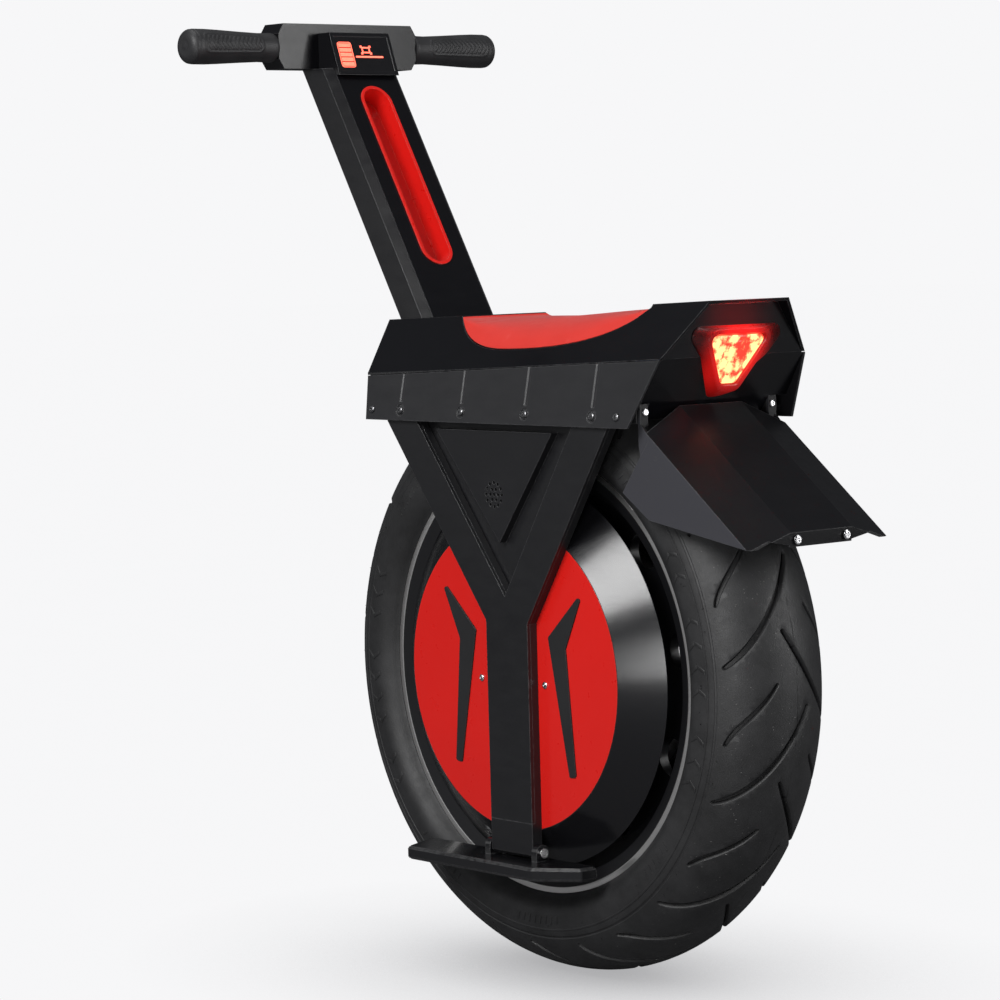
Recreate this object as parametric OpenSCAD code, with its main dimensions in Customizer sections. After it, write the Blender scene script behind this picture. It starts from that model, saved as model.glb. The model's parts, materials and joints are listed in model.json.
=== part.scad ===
// Self-balancing electric unicycle with a fat motorcycle tyre, a saddle over the wheel,
// a leaning handlebar stem and two fold-up footrests.
// The origin is the axle's centre, +X is forward, +Y is the rider's left and +Z is up.

/* [Wheel] */
// Radius of the tyre's crown
tyre_r = 321; // [316:0.5:324]
// Half of the tyre's widest section
tyre_half_w = 76; // [70:0.5:78]
// Height of the tyre's rounded crown above its widest line
crown_h = 64; // [56:1:70]
// Power of the curve that rounds the tyre, 2 is an ellipse
crown_power = 1.9; // [1.8:0.05:2.4]
// Radius of the rim's flange
flange_r = 232.3; // [230:0.1:234]
// Distance of the flange's outer face from the wheel's middle plane
flange_y = 60; // [57:0.5:62]
// Radius of the motor's rotor ring
rotor_r = 134; // [128:1:138]
// Number of the rotor's magnets
magnet_count = 28; // [20:2:32]
// Number of the stator's wound teeth
tooth_count = 18; // [12:3:24]

/* [Axle and fork] */
// Radius of the axle in its bearings
axle_r = 15; // [12:0.5:16]
// Radius of the axle's threaded ends
axle_end_r = 10; // [8:0.5:10]
// Outer face of the fork leg
fork_out_y = 110; // [109:0.5:112]
// Inner face of the fork leg
fork_in_y = 97; // [96.9:0.1:98]
// Front edge of the fork leg
leg_front = 24; // [22:1:26]
// Rear edge of the fork leg
leg_rear = -41; // [-43:1:-38]
// Lowest edge of the fork leg
leg_low = -186; // [-187:0.5:-185]

/* [Wheel cover] */
// Radius of the gloss cover's outer edge
cover_r = 203; // [198:1:205]
// Distance of the cover's outer edge from the middle plane
cover_edge_y = 66; // [64:1:70]
// Radius of the coloured disc
disc_r = 162; // [150:1:165]
// Outer face of the coloured disc
disc_y = 96.7; // [96:0.1:96.8]

/* [Body] */
// Height of the body's lower edge
body_low = 262; // [260:1:264]
// Half width of the body at its lower edge
skirt_half_w = 115.5; // [114:0.5:117]
// Inward lean of the side panels, width per height
skirt_lean = 0.207; // [0.19:0.005:0.22]
// Angle of the upper side faces from level
roof_angle = 50.3; // [50:0.1:51]
// Forward drop of the upper side faces, in degrees
roof_tilt = 1.02; // [0.8:0.02:1.2]
// Distance of the upper side faces from the axle
roof_d = 283.6; // [282:0.1:285]
// Thickness of the upper shell
shell_t = 3; // [2:0.5:3]

/* [Seat] */
// Front end of the saddle
seat_front = 111; // [105:1:112]
// Rear end of the saddle
seat_rear = -183; // [-186:1:-178]
// Lowest line of the saddle's edge
seat_low = 337; // [336:1:342]

/* [Stem and handlebar] */
// Forward lean of the stem from upright
stem_lean = 30.46; // [30:0.02:31]
// Where the stem's rear face meets the axle's level
stem_x0 = -36.3; // [-38:0.1:-35]
// Half width of the stem
stem_half_w = 50.6; // [48:0.2:52]
// Depth of the stem, square to its lean
stem_depth = 47.1; // [44:0.1:48]
// Bevel across the stem's four long edges
stem_bevel = 9; // [6:0.5:10]
// Wall of the stem and of the handlebar box
stem_wall = 3; // [2:0.5:4]
// Half width of the coloured recess in the stem
slot_r = 21; // [18:0.5:23]
// Height of the recess's lower end
slot_low = 425; // [420:1:440]
// Height of the recess's upper end
slot_high = 624; // [600:1:626]
// Centre of the handlebar, forward of the axle
bar_x = 382; // [380:0.5:386]
// Height of the handlebar's centre
bar_z = 668.5; // [666:0.5:672]
// Half of the handlebar's whole width
bar_half_w = 215; // [200:1:230]
// Radius of the grips at their ends
grip_r = 19.8; // [18:0.2:21]

/* [Mudguard] */
// Distance of the mudguard's top plate from the axle
guard_d = 348; // [346:0.5:350]
// Slope of the mudguard from level
guard_slope = 38.3; // [37.5:0.1:39]
// Half width of the mudguard's flat top
guard_flat = 42.8; // [38:0.2:46]
// Half width over the mudguard's side flanges
guard_half_w = 96.8; // [96:0.1:96.9]

/* [Footrests] */
// Height of the footrest's top face
step_top = -188.6; // [-190:0.1:-188.6]
// Thickness of the footrest
step_t = 14; // [10:1:16]
// Radius of the footrest's hinge pin
pin_r = 4; // [3:0.5:4]
// Distance of the hinge pin from the middle plane
pin_y = 104; // [103.5:0.1:104.5]
// Height of the hinge pin
pin_z = -180; // [-180.5:0.1:-179.5]

/* [Charge port and button] */
// Radius of the charge socket's opening
port_r = 6; // [5:0.5:7]
// Depth of the charge socket's opening
port_depth = 12; // [8:1:14]
// Travel of the power button
button_travel = 1.8; // [1:0.1:2]

/* [Hidden] */
$fn = 96;
gap = 0.2;
screw_gap = 0.1;
big = 2000;

/* ---- helpers ---- */
function unit(v) = v / norm(v);
function at(p, i) = p[(i + len(p)) % len(p)];
// Outline moved inward by d, for an outline that runs anticlockwise
function inset(p, d) = [
    for (i = [0:len(p) - 1])
        let (e = unit(p[i] - at(p, i - 1)), f = unit(at(p, i + 1) - p[i]),
             m = [-e.y, e.x], n = [-f.y, f.x])
        p[i] + d * (m + n) / (1 + m * n)
];
// Outline with each corner turned into an arc of radius r
function rounded(p, r, steps = 6) = [
    for (i = [0:len(p) - 1])
        let (u = unit(at(p, i - 1) - p[i]), v = unit(at(p, i + 1) - p[i]),
             half = acos(u * v) / 2, mid = p[i] + unit(u + v) * r / sin(half),
             a = p[i] + u * r / tan(half) - mid, b = p[i] + v * r / tan(half) - mid,
             start = atan2(a.y, a.x), turn = (atan2(b.y, b.x) - start + 540) % 360 - 180)
        for (k = [0:steps]) mid + r * [cos(start + turn * k / steps), sin(start + turn * k / steps)]
];
function bezier(a, b, c, d, t) =
    a * pow(1 - t, 3) + b * 3 * t * pow(1 - t, 2) + c * 3 * t * t * (1 - t) + d * pow(t, 3);

// A flat shape drawn in X and Z, made solid from y0 to y1
module across(y0, y1) translate([0, y1, 0]) rotate([90, 0, 0]) linear_extrude(y1 - y0) children();
// A flat shape drawn in Y and Z, made solid from x0 to x1
module along(x0, x1) translate([x0, 0, 0]) rotate([90, 0, 90]) linear_extrude(x1 - x0) children();
// A profile of radius and y, turned about the axle
module turned() rotate([-90, 0, 0]) rotate_extrude() children();
// A cylinder along Y
module y_rod(r, y0, y1) translate([0, y0, 0]) rotate([-90, 0, 0]) cylinder(r = r, h = y1 - y0);
// A cylinder along X
module x_rod(r, x0, x1) translate([x0, 0, 0]) rotate([0, 90, 0]) cylinder(r = r, h = x1 - x0);
// Everything on the near side of the plane with normal n, at distance d from the origin
module half_space(n, d)
    let (u = unit(n))
    rotate([0, acos(u.z), atan2(u.y, u.x)])
    translate([-big / 2, -big / 2, d - big]) cube(big);
module block(low, high) translate(low) cube(high - low);
module both_sides() { children(); mirror([0, 1, 0]) children(); }
// A screw that points down, with its head above z = 0 and a hex or a cross recess in the head
module screw(r, length, head_r, head_h, drive_r, crossed = false) {
    difference() {
        union() {
            translate([0, 0, -length]) cylinder(r = r, h = length + head_h / 2, $fn = 32);
            cylinder(r = head_r, h = head_h * 0.6, $fn = 32);
            translate([0, 0, head_h * 0.6 - 0.01])
                cylinder(r1 = head_r, r2 = head_r * 0.72, h = head_h * 0.4, $fn = 32);
        }
        translate([0, 0, head_h * 0.45])
            if (crossed) {
                for (a = [0, 90])
                    rotate(a) translate([-drive_r, -drive_r / 4, 0]) cube([2 * drive_r, drive_r / 2, head_h]);
            } else cylinder(r = drive_r, h = head_h, $fn = 6);
    }
}

/* ---- wheel ---- */
crown_base = tyre_r - crown_h;
tyre_wall = 9;
function crown(half_w, h, angle) = [
    crown_base + h * pow(abs(sin(angle)), 2 / crown_power),
    half_w * sign(cos(angle)) * pow(abs(cos(angle)), 2 / crown_power)
];
bead_r = flange_r - 14;
bead_y = flange_y - 4.5;
module tyre_half_profile(half_w, h, foot)
    polygon(concat([for (a = [0:7.5:90]) crown(half_w, h, a)], [[foot[0].x, 0]], foot));
// the bead sits on the rim and the side wall passes over the flange
tyre_foot = [
    [bead_r + gap, bead_y - 0.7], [flange_r + gap, flange_y - 3.8], [flange_r + gap, flange_y + 0.5]];
air_foot = [[bead_r - 1, bead_y - 14], [flange_r, bead_y - 8]];
module tyre()
    color([0.07, 0.07, 0.075])
    turned()
    difference() {
        union() {
            tyre_half_profile(tyre_half_w, crown_h, tyre_foot);
            mirror([0, 1]) tyre_half_profile(tyre_half_w, crown_h, tyre_foot);
        }
        // the air space, open to the rim between the beads
        for (side = [0, 1])
            mirror([0, side])
            tyre_half_profile(tyre_half_w - tyre_wall, crown_h - tyre_wall, air_foot);
    }

well_r = 198;
rim_t = 5;
web_half_t = 6;
spoke_count = 9;
rim_outer = [
    [flange_r, flange_y], [flange_r, flange_y - 3.5], [bead_r, flange_y - 4.7],
    [bead_r - 1, bead_y - 17], [well_r, 26], [well_r, 0]
];
module rim_half_profile()
    polygon(concat(rim_outer, [
        [well_r - rim_t, 0], [well_r - rim_t, 28], [bead_r - rim_t - 2, bead_y - 14],
        [bead_r - rim_t, flange_y - 5], [flange_r - 5, flange_y]]));
module rim()
    color([0.62, 0.62, 0.64])
    difference() {
        union() {
            turned() rim_half_profile();
            turned() mirror([0, 1]) rim_half_profile();
            // the web that joins the rim to the motor
            turned() translate([rotor_r, -web_half_t]) square([well_r - rotor_r - 2, 2 * web_half_t]);
        }
        for (i = [0:spoke_count - 1])
            rotate([0, i * 360 / spoke_count, 0])
            translate([0, 0, (rotor_r + well_r) / 2]) y_rod(20, -web_half_t - 1, web_half_t + 1);
        valve_place() cylinder(r = valve_neck_r + screw_gap, h = 12, center = true);
    }

// The valve stands in the rim's well on the right and bends to face sideways.
valve_neck_r = 4.2;
valve_tip_r = 3.85;
valve_tip_y = -62;
valve_y = -18;
valve_leg = 12;
module valve_place() rotate([0, 20, 0]) translate([0, valve_y, -well_r + rim_t / 2]) children();
module tyre_valve()
    color([0.72, 0.65, 0.4])
    valve_place() {
        // rubber foot inside the tyre, then the neck through the rim
        translate([0, 0, -rim_t / 2 - 3]) cylinder(r = 8, h = 2.8);
        translate([0, 0, -rim_t / 2 - 1]) cylinder(r = valve_neck_r, h = rim_t + valve_leg);
        translate([0, 0, rim_t / 2 + valve_leg]) sphere(r = valve_neck_r);
        translate([0, 0, rim_t / 2 + valve_leg]) y_rod(valve_neck_r, -24, 0);
        translate([0, 0, rim_t / 2 + valve_leg]) y_rod(valve_tip_r, valve_tip_y - valve_y, -20);
    }

rotor_t = 12;
rotor_half_w = 36;
magnet_t = 3;
air_gap = 0.8;
module rotor_ring()
    color([0.45, 0.45, 0.47])
    difference() {
        y_rod(rotor_r - gap / 4, -rotor_half_w, rotor_half_w);
        y_rod(rotor_r - rotor_t, -rotor_half_w - 1, rotor_half_w + 1);
        cover_screw_places(rotor_half_w)
            translate([0, 0, -16]) cylinder(r = cover_screw_r + screw_gap, h = 20);
    }
magnet_r = rotor_r - rotor_t - magnet_t - gap;
module rotor_magnets()
    color([0.75, 0.75, 0.78])
    for (i = [0:magnet_count - 1])
        rotate([0, i * 360 / magnet_count, 0])
        block([-9, -24, magnet_r - 0.6], [9, 24, magnet_r + magnet_t - 1]);

cover_screw_r = 2.5;
cover_screw_count = 6;
motor_cover_t = 6;
module cover_screw_places(y)
    for (side = [0, 1], i = [0:cover_screw_count - 1])
        mirror([0, side, 0])
        rotate([0, (i + 0.5) * 360 / cover_screw_count, 0])
        translate([0, y, rotor_r - rotor_t / 2]) rotate([-90, 0, 0]) children();
bearing_r = 31;
bearing_low = 38;
bearing_high = 54;
module motor_covers()
    color([0.2, 0.2, 0.21])
    difference() {
        both_sides()
            turned() polygon([
                [bearing_r + gap / 4, bearing_low - 2], [bearing_r + 8, bearing_low - 2],
                [bearing_r + 8, rotor_half_w + gap], [rotor_r - 1, rotor_half_w + gap],
                [rotor_r - 1, rotor_half_w + motor_cover_t], [rotor_r - 12, rotor_half_w + motor_cover_t],
                [bearing_r + 18, rotor_half_w + motor_cover_t + 6],
                [bearing_r + 8, bearing_high + 2], [bearing_r - 4, bearing_high + 2],
                [bearing_r - 4, bearing_high + gap / 4], [bearing_r + gap / 4, bearing_high + gap / 4]]);
        cover_screw_places(rotor_half_w)
            cylinder(r = cover_screw_r + screw_gap, h = 20);
    }
module motor_cover_screws()
    color([0.7, 0.7, 0.72])
    cover_screw_places(rotor_half_w + motor_cover_t + gap)
        screw(cover_screw_r, 18, 4.5, 3, 2);
module wheel_bearings()
    color([0.8, 0.8, 0.82])
    both_sides()
    difference() {
        y_rod(bearing_r, bearing_low, bearing_high);
        y_rod(axle_r + 0.05, bearing_low - 1, bearing_high + 1);
        // the step between each race and the seal
        for (y = [bearing_low - 1, bearing_high - 0.6])
            difference() {
                y_rod(bearing_r - 4, y, y + 1.6);
                y_rod(axle_r + 4, y - 1, y + 3);
            }
    }

/* ---- axle, stator ---- */
shoulder_y = 60;
axle_end_y = 107;
washer_t = 6;
module axle()
    color([0.6, 0.6, 0.63])
    difference() {
        union() {
            y_rod(axle_r, -shoulder_y, shoulder_y);
            y_rod(axle_end_r, -axle_end_y, axle_end_y);
        }
        // the cable channel down the middle, open at the right end
        y_rod(5, -axle_end_y - 1, 0);
    }
nut_low = 100;
module axle_nuts()
    color([0.7, 0.7, 0.72])
    both_sides()
    difference() {
        translate([0, nut_low + gap, 0]) rotate([-90, 0, 0]) cylinder(r = 16.5, h = 7.6, $fn = 6);
        y_rod(axle_end_r + screw_gap, nut_low - 1, 120);
    }
module axle_washers()
    color([0.7, 0.7, 0.72])
    both_sides()
    difference() {
        y_rod(19, shoulder_y + gap / 2, shoulder_y + washer_t);
        y_rod(axle_end_r + screw_gap, shoulder_y - 1, shoulder_y + washer_t + 1);
    }

stator_r = magnet_r - 0.6 - air_gap;
stator_half_w = 22;
tooth_depth = 26;
tooth_half_w = 5;
module stator_core()
    color([0.35, 0.35, 0.37])
    difference() {
        y_rod(stator_r, -stator_half_w, stator_half_w);
        y_rod(axle_r + gap / 4, -stator_half_w - 1, stator_half_w + 1);
        for (i = [0:tooth_count - 1])
            rotate([0, (i + 0.5) * 360 / tooth_count, 0])
            block([-stator_slot_w / 2, -stator_half_w - 1, stator_r - tooth_depth],
                  [stator_slot_w / 2, stator_half_w + 1, stator_r + 1]);
        for (i = [0:5])
            rotate([0, i * 60, 0])
            translate([0, 0, 48]) y_rod(15, -stator_half_w - 1, stator_half_w + 1);
    }
// each slot leaves a tooth of twice tooth_half_w at the slot's foot
stator_slot_w = 2 * (stator_r - tooth_depth) * sin(180 / tooth_count) - 2 * tooth_half_w;
winding_t = min(4.5, stator_slot_w / 2 - 0.6);
module stator_windings()
    color([0.72, 0.4, 0.2])
    for (i = [0:tooth_count - 1])
        rotate([0, i * 360 / tooth_count, 0])
        difference() {
            winding_block(tooth_side + winding_t, stator_half_w + winding_t, 0);
            winding_block(tooth_side + gap, stator_half_w + gap, 1);
        }
tooth_side = stator_r * sin(180 / tooth_count) - stator_slot_w / 2 + 0.2;
module winding_block(half_w, half_l, more)
    block([-half_w, -half_l, stator_r - tooth_depth + 9 - more], [half_w, half_l, stator_r - 4 + more]);

/* ---- fork and wheel covers ---- */
// the Y shape of one fork side, cut off level at height top
front_arm = [0.7607, 0.766];
rear_arm = [0.635, 0.62];
branch_z = 57;
notch = [-6.9, 83.6];
function fork_outline(top, low) = [
    [leg_rear, low], [leg_front, low], [leg_front, branch_z],
    [leg_front + (top - branch_z) * front_arm[0], top],
    [notch.x + (top - notch.y) * front_arm[1], top], notch,
    [notch.x - (top - notch.y) * rear_arm[1], top],
    [leg_rear - (top - branch_z) * rear_arm[0], top], [leg_rear, branch_z]
];
fork_top = 288;
plate_out_y = 106;
cap_low = -150;
cap_top = body_low - 0.6;
boss_r = 28;
boss_in_y = shoulder_y + washer_t + gap / 2;
// bolts that hold the fork's arms to the chassis rails
bolt_z = 280;
bolt_xs = [184, 170, -134, -169];
module bolt_places()
    for (x = bolt_xs)
        translate([x, plate_out_y - 3, bolt_z]) rotate([-90, 0, 0]) children();
module fork_side()
    difference() {
        union() {
            across(fork_in_y, plate_out_y) polygon(fork_outline(fork_top, cap_low - 1));
            y_rod(boss_r, boss_in_y, fork_in_y + 1);
            // the full-depth foot that carries the footrest's pin, its outer corner cut back
            // so that the footrest can swing past it
            along(leg_rear, leg_front)
                polygon([[fork_in_y, cap_low], [fork_in_y, leg_low], [pin_y + 3, leg_low],
                         [fork_out_y, leg_low + 3], [fork_out_y, cap_low]]);
        }
        y_rod(axle_end_r + screw_gap, boss_in_y - 1, 130);
        y_rod(17.5, nut_low, 130);
        bolt_places() {
            cylinder(r = 6.6, h = 20);
            translate([0, 0, -20]) cylinder(r = 4 + screw_gap, h = 30);
        }
        panel_screw_places([panel_screw_xs[0], panel_screw_xs[3]])
            translate([0, 0, -16]) cylinder(r = 2 + screw_gap, h = 30, $fn = 32);
        translate([0, pin_y, pin_z]) x_rod(pin_r + 0.05, leg_rear - 1, leg_front + 1);
    }
module fork_left() color([0.09, 0.09, 0.1]) fork_side();
module fork_right() color([0.09, 0.09, 0.1]) mirror([0, 1, 0]) fork_side();
module fork_caps()
    color([0.06, 0.06, 0.065])
    both_sides()
    difference() {
        across(plate_out_y + gap / 2, fork_out_y) polygon(fork_outline(cap_top, cap_low + gap));
        y_rod(18.5, plate_out_y - 1, 108.3);
    }
module fork_bolts()
    color([0.7, 0.7, 0.72])
    both_sides() bolt_places() translate([0, 0, gap / 2]) screw(4, 14, 6.4, 2.8, 2.6);

ring_r = 62;
floor_y = disc_y - 3 - gap / 2;
floor_t = 3;
module cover_mount_rings()
    color([0.5, 0.5, 0.52])
    both_sides()
    difference() {
        y_rod(ring_r, floor_y - floor_t - 7, floor_y - floor_t - gap / 2);
        y_rod(boss_r + screw_gap, 70, 100);
        disc_screw_places(floor_y) translate([0, 0, -20]) cylinder(r = 2 + screw_gap, h = 30, $fn = 32);
    }
// the triangle between the fork's arms, where the speaker panel takes the disc's place
vee_grow = 8;
module vee_shape(grow)
    polygon([
        notch - [0, grow * 1.6],
        [notch.x + (cap_top + 8 - notch.y) * front_arm[1] + grow, cap_top + 8],
        [notch.x - (cap_top + 8 - notch.y) * rear_arm[1] - grow, cap_top + 8]]);
module wheel_cover_side()
    difference() {
        turned() polygon([
            [boss_r + 1, floor_y - floor_t], [disc_r - 4, floor_y - floor_t],
            [cover_r - 4, cover_edge_y - 1], [cover_r, cover_edge_y],
            [disc_r + 0.8, disc_y], [disc_r + gap, disc_y], [disc_r + gap, floor_y], [boss_r + 1, floor_y]]);
        across(floor_y - 0.01, 120) vee_shape(vee_grow);
        disc_screw_places(floor_y) translate([0, 0, -20]) cylinder(r = 2 + screw_gap, h = 30, $fn = 32);
    }
module wheel_cover_left() color([0.04, 0.04, 0.045]) wheel_cover_side();
module wheel_cover_right() color([0.04, 0.04, 0.045]) mirror([0, 1, 0]) wheel_cover_side();

disc_screw_xs = [48.5, -52];
disc_screw_z = -6.5;
module disc_screw_places(y)
    for (x = disc_screw_xs) translate([x, y, disc_screw_z]) rotate([-90, 0, 0]) children();
module insert_outline(grow)
    polygon(inset(
        rounded([[103.5, 86.5], [57.5, 43.5], [86, -99], [95.5, -97.5], [84, 33], [108.5, 85.5]], 2.2, 4),
        -grow));
module insert_places()
    for (flip = [0, 1]) translate([-1.8, 0, 0]) mirror([flip, 0, 0]) children();
module accent_disc_side()
    difference() {
        y_rod(disc_r, floor_y + gap / 2, disc_y);
        y_rod(boss_r + screw_gap, 80, 100);
        across(80, 120) vee_shape(vee_grow - 1);
        insert_places() across(disc_y - 1.5, 120) insert_outline(gap);
        disc_screw_places(floor_y) translate([0, 0, -1]) cylinder(r = 2 + screw_gap, h = 30, $fn = 32);
    }
module accent_disc_left() color([0.85, 0.1, 0.06]) accent_disc_side();
module accent_disc_right() color([0.85, 0.1, 0.06]) mirror([0, 1, 0]) accent_disc_side();
module disc_inserts()
    color([0.05, 0.05, 0.055])
    both_sides() insert_places() across(disc_y - 1.4, disc_y + 1.4) insert_outline(0);
module cover_screws()
    color([0.8, 0.8, 0.82])
    both_sides() disc_screw_places(disc_y + gap / 4) screw(2, 11, 3.6, 1.8, 1.8, true);

/* ---- speaker panel between the fork's arms ---- */
speaker_at = [12.7, 187.8];
panel_sheet_t = 1.6;
plateau_h = 9;
plateau_low = [5.7, 138];
// the raised triangle's sides rise at 45 degrees, so each is a slanting plane
function side_normal(a, b) = let (d = unit(b - a)) [d.y, 1, -d.x];
module raised_triangle(base_y, h, shrink) {
    p = inset([plateau_low, [plateau_low.x + 99, 254], [plateau_low.x - 86, 254]], shrink);
    intersection() {
        across(base_y, base_y + h) polygon(p);
        for (i = [0:2])
            let (n = side_normal(p[i], at(p, i + 1)), foot = [p[i].x, base_y + 1, p[i].y])
            half_space(n, unit(n) * foot);
    }
}
module speaker_panel_side()
    difference() {
        union() {
            intersection() {
                across(floor_y + gap / 2, floor_y + panel_sheet_t) vee_shape(vee_grow - 1.5);
                across(0, 200) translate([-300, 0]) square([600, body_low + 2]);
            }
            raised_triangle(floor_y + panel_sheet_t - 1, plateau_h + 1, 0);
        }
        translate([0, -2.5, 0]) raised_triangle(floor_y + panel_sheet_t - 4, plateau_h + 4, 3.5);
        grille_holes();
    }
module grille_holes()
    for (ring = [0:2], i = [0:max(1, 6 * ring) - 1])
        let (r = ring * 6.2, a = i * 60 / max(1, ring))
        translate([speaker_at.x + r * cos(a), 0, speaker_at.y + r * sin(a)])
        y_rod(1.8, floor_y + 4, 120, $fn = 24);
module speaker_panel_left() color([0.1, 0.1, 0.11]) speaker_panel_side();
module speaker_panel_right() color([0.1, 0.1, 0.11]) mirror([0, 1, 0]) speaker_panel_side();
speaker_back = floor_y + 1;
module speakers()
    color([0.25, 0.25, 0.27])
    both_sides()
    translate([speaker_at.x, 0, speaker_at.y])
    difference() {
        y_rod(18, speaker_back, floor_y + panel_sheet_t + plateau_h - 2.6);
        y_rod(15, floor_y + 5, 120);
    }

/* ---- chassis frame inside the body ---- */
rail_in_y = 84;
rail_low = 266;
rail_high = 290;
rail_front = 205.5;
rail_rear = -200;
deck_low = 312;
deck_high = 320;
panel_screw_z = 273;
panel_screw_xs = [153, 52.6, -48.9, -151.7, 201, -188];
// screws stand square to the leaning side panel
module panel_screw_places(xs)
    for (x = xs)
        translate([x, skirt_half_w - skirt_lean * (panel_screw_z - body_low), panel_screw_z])
        rotate([-90 + atan(skirt_lean), 0, 0]) children();
module chassis_frame()
    color([0.3, 0.3, 0.32])
    difference() {
        union() {
            both_sides() {
                block([rail_rear, rail_in_y, rail_low], [rail_front, fork_in_y, rail_high]);
                block([165, rail_in_y, rail_high - 1], [205, 92, deck_high]);
                block([-198, rail_in_y, rail_high - 1], [-184, 92, 302]);
                intersection() {
                    panel_screw_places([for (i = [1, 2, 4, 5]) panel_screw_xs[i]])
                        translate([0, 0, -20]) cylinder(r = 4.5, h = 17);
                    block([-220, 90, 255], [220, 120, 290]);
                }
            }
            block([192, -90, 270], [rail_front, 90, rail_high]);
            block([-198, -90, 286], [-184, 90, 302]);
            block([112, -60, deck_low], [170, 60, deck_high]);
            block([148, -92, deck_low], [211, 92, deck_high]);
        }
        both_sides() {
            bolt_places() translate([0, 0, -14.5]) cylinder(r = 4 + screw_gap, h = 30);
            panel_screw_places(panel_screw_xs)
                translate([0, 0, -16]) cylinder(r = 2 + screw_gap, h = 30, $fn = 32);
        }
        tab_screw_places() translate([0, 0, -12]) cylinder(r = 2.5 + screw_gap, h = 30, $fn = 32);
    }

/* ---- body ---- */
nose_low = [209.4, body_low - 1];
nose_mid = [216, 309];
nose_top = [235.4, 367];
seat_lip = [seat_front, 371];
hump = [-194, 383.3];
fin_top = [-264.7, 386];
fin_mid = [-240, 330];
fin_low = [-206, body_low];
body_outline = [fin_low, nose_low, nose_mid, nose_top, seat_lip, hump, fin_top, fin_mid];
module roof(d)
    intersection_for (s = [-1, 1])
        half_space([sin(roof_tilt), s * sin(roof_angle), cos(roof_angle)], roof_d - d);
module skirts(d)
    intersection_for (s = [-1, 1])
        half_space([0, s, skirt_lean], (skirt_half_w + skirt_lean * body_low) / norm([1, skirt_lean]) - d);
module body_block(d)
    intersection() {
        across(-130, 130) polygon(body_outline);
        roof(d);
        skirts(d);
    }
// the crease where the side panels meet the upper shell
crease_front = 309;
crease_rear = 330;
crease_n = [(crease_rear - crease_front) / (nose_mid.x - fin_mid.x), 0, 1];
function crease_d(dz) = unit(crease_n) * [nose_mid.x, 0, crease_front + dz];

function seat_edge(d) = concat(
    [for (t = [0:0.125:1])
        bezier([seat_front, 371], [seat_front - 26, 346], [seat_front - 56, seat_low + 0.5],
               [15, seat_low], t) - [0, d]],
    [for (t = [0.125:0.125:1])
        bezier([15, seat_low], [-60, seat_low + 0.5], [-150, 344], [seat_rear, 379.5], t) - [0, d]]);
module seat_cut(d) across(-140, 140) polygon(concat(seat_edge(d), [[seat_rear, 420], [seat_front, 420]]));

module upper_shell()
    color([0.05, 0.05, 0.055])
    difference() {
        body_block(0);
        // the hollow, open at the front, the rear and below
        intersection() {
            across(-140, 140) polygon([
                [-400, 100], [400, 100], [400, nose_top.y - shell_t - 1.2],
                for (p = [nose_top, seat_lip, hump, fin_top]) p - [0, shell_t],
                [-400, fin_top.y - shell_t]]);
            roof(shell_t);
        }
        half_space(crease_n, crease_d(0));
        seat_cut(0);
        stem_block(-gap, 300, 420);
    }
module side_panel_side()
    difference() {
        intersection() {
            body_block(0);
            half_space(crease_n, crease_d(-0.6));
            across(0, 140) translate([-300, body_low]) square([600, 100]);
        }
        skirts(2.5);
        panel_screw_places(panel_screw_xs)
            translate([0, 0, -10]) cylinder(r = 2 + screw_gap, h = 20, $fn = 32);
        // pressed grooves that rise from the four larger screws to the crease
        for (i = [0:3])
            groove_place(panel_screw_xs[i]) translate([0, 0, 9])
                linear_extrude(60) polygon([[-3.4, 0.5], [-1.4, -1], [1.4, -1], [3.4, 0.5]]);
        // and a pressed ring round each of them
        panel_screw_places([for (i = [0:3]) panel_screw_xs[i]])
            translate([0, 0, -0.9]) difference() {
                cylinder(r = 6.6, h = 3);
                translate([0, 0, -1]) cylinder(r = 5.1, h = 5);
            }
    }
module groove_place(x)
    translate([x, skirt_half_w - skirt_lean * (panel_screw_z - body_low), panel_screw_z])
    rotate([atan(skirt_lean), 0, 0]) children();
module side_panel_left() color([0.12, 0.12, 0.13]) side_panel_side();
module side_panel_right()
    color([0.12, 0.12, 0.13])
    difference() {
        mirror([0, 1, 0]) side_panel_side();
        port_place() cylinder(r = port_body_r + screw_gap, h = 60, center = true);
        cap_pin_place() cylinder(r = cap_pin_r + 0.8, h = 20, center = true, $fn = 32);
        button_place() cylinder(r = button_r + 0.2, h = 60, center = true);
    }
module side_panel_screws()
    color([0.5, 0.5, 0.52])
    both_sides()
        panel_screw_places(panel_screw_xs) translate([0, 0, gap / 4]) screw(2, 14, 4.2, 1.8, 2, true);

// the folded plate that closes the tail, recessed between the fins
tail_top = [-251, 386];
tail_low = [-190, 267];
panel_t = 3;
wall_clear = 0.3;
function strip(a, b, c) = concat([a, b, c], [for (p = [c, b, a]) p + [panel_t + 0.6, 0]]);
module inside_shell() {
    intersection() {
        roof(shell_t + wall_clear);
        skirts(2.5 + wall_clear);
        across(-140, 140) polygon([
            [-400, 100], [400, 100],
            for (p = [nose_top, seat_lip, hump, fin_top]) p - [0, shell_t + wall_clear],
            [-400, fin_top.y - shell_t - wall_clear]]);
    }
}
module tail_panel()
    color([0.07, 0.07, 0.075])
    difference() {
        intersection() {
            across(-140, 140) polygon(strip(tail_low, fin_mid + [0.4, 0], tail_top));
            inside_shell();
        }
        y_rod(tyre_r + 9, -rail_in_y + 1, rail_in_y - 1);
        along(-300, -200) polygon(rounded(lamp_outline, lamp_round));
        // clears the chassis rails
        both_sides() block([-220, rail_in_y - 1, 250], [-180, 120, 285.5]);
    }
nose_recess = 0.5;
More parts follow.
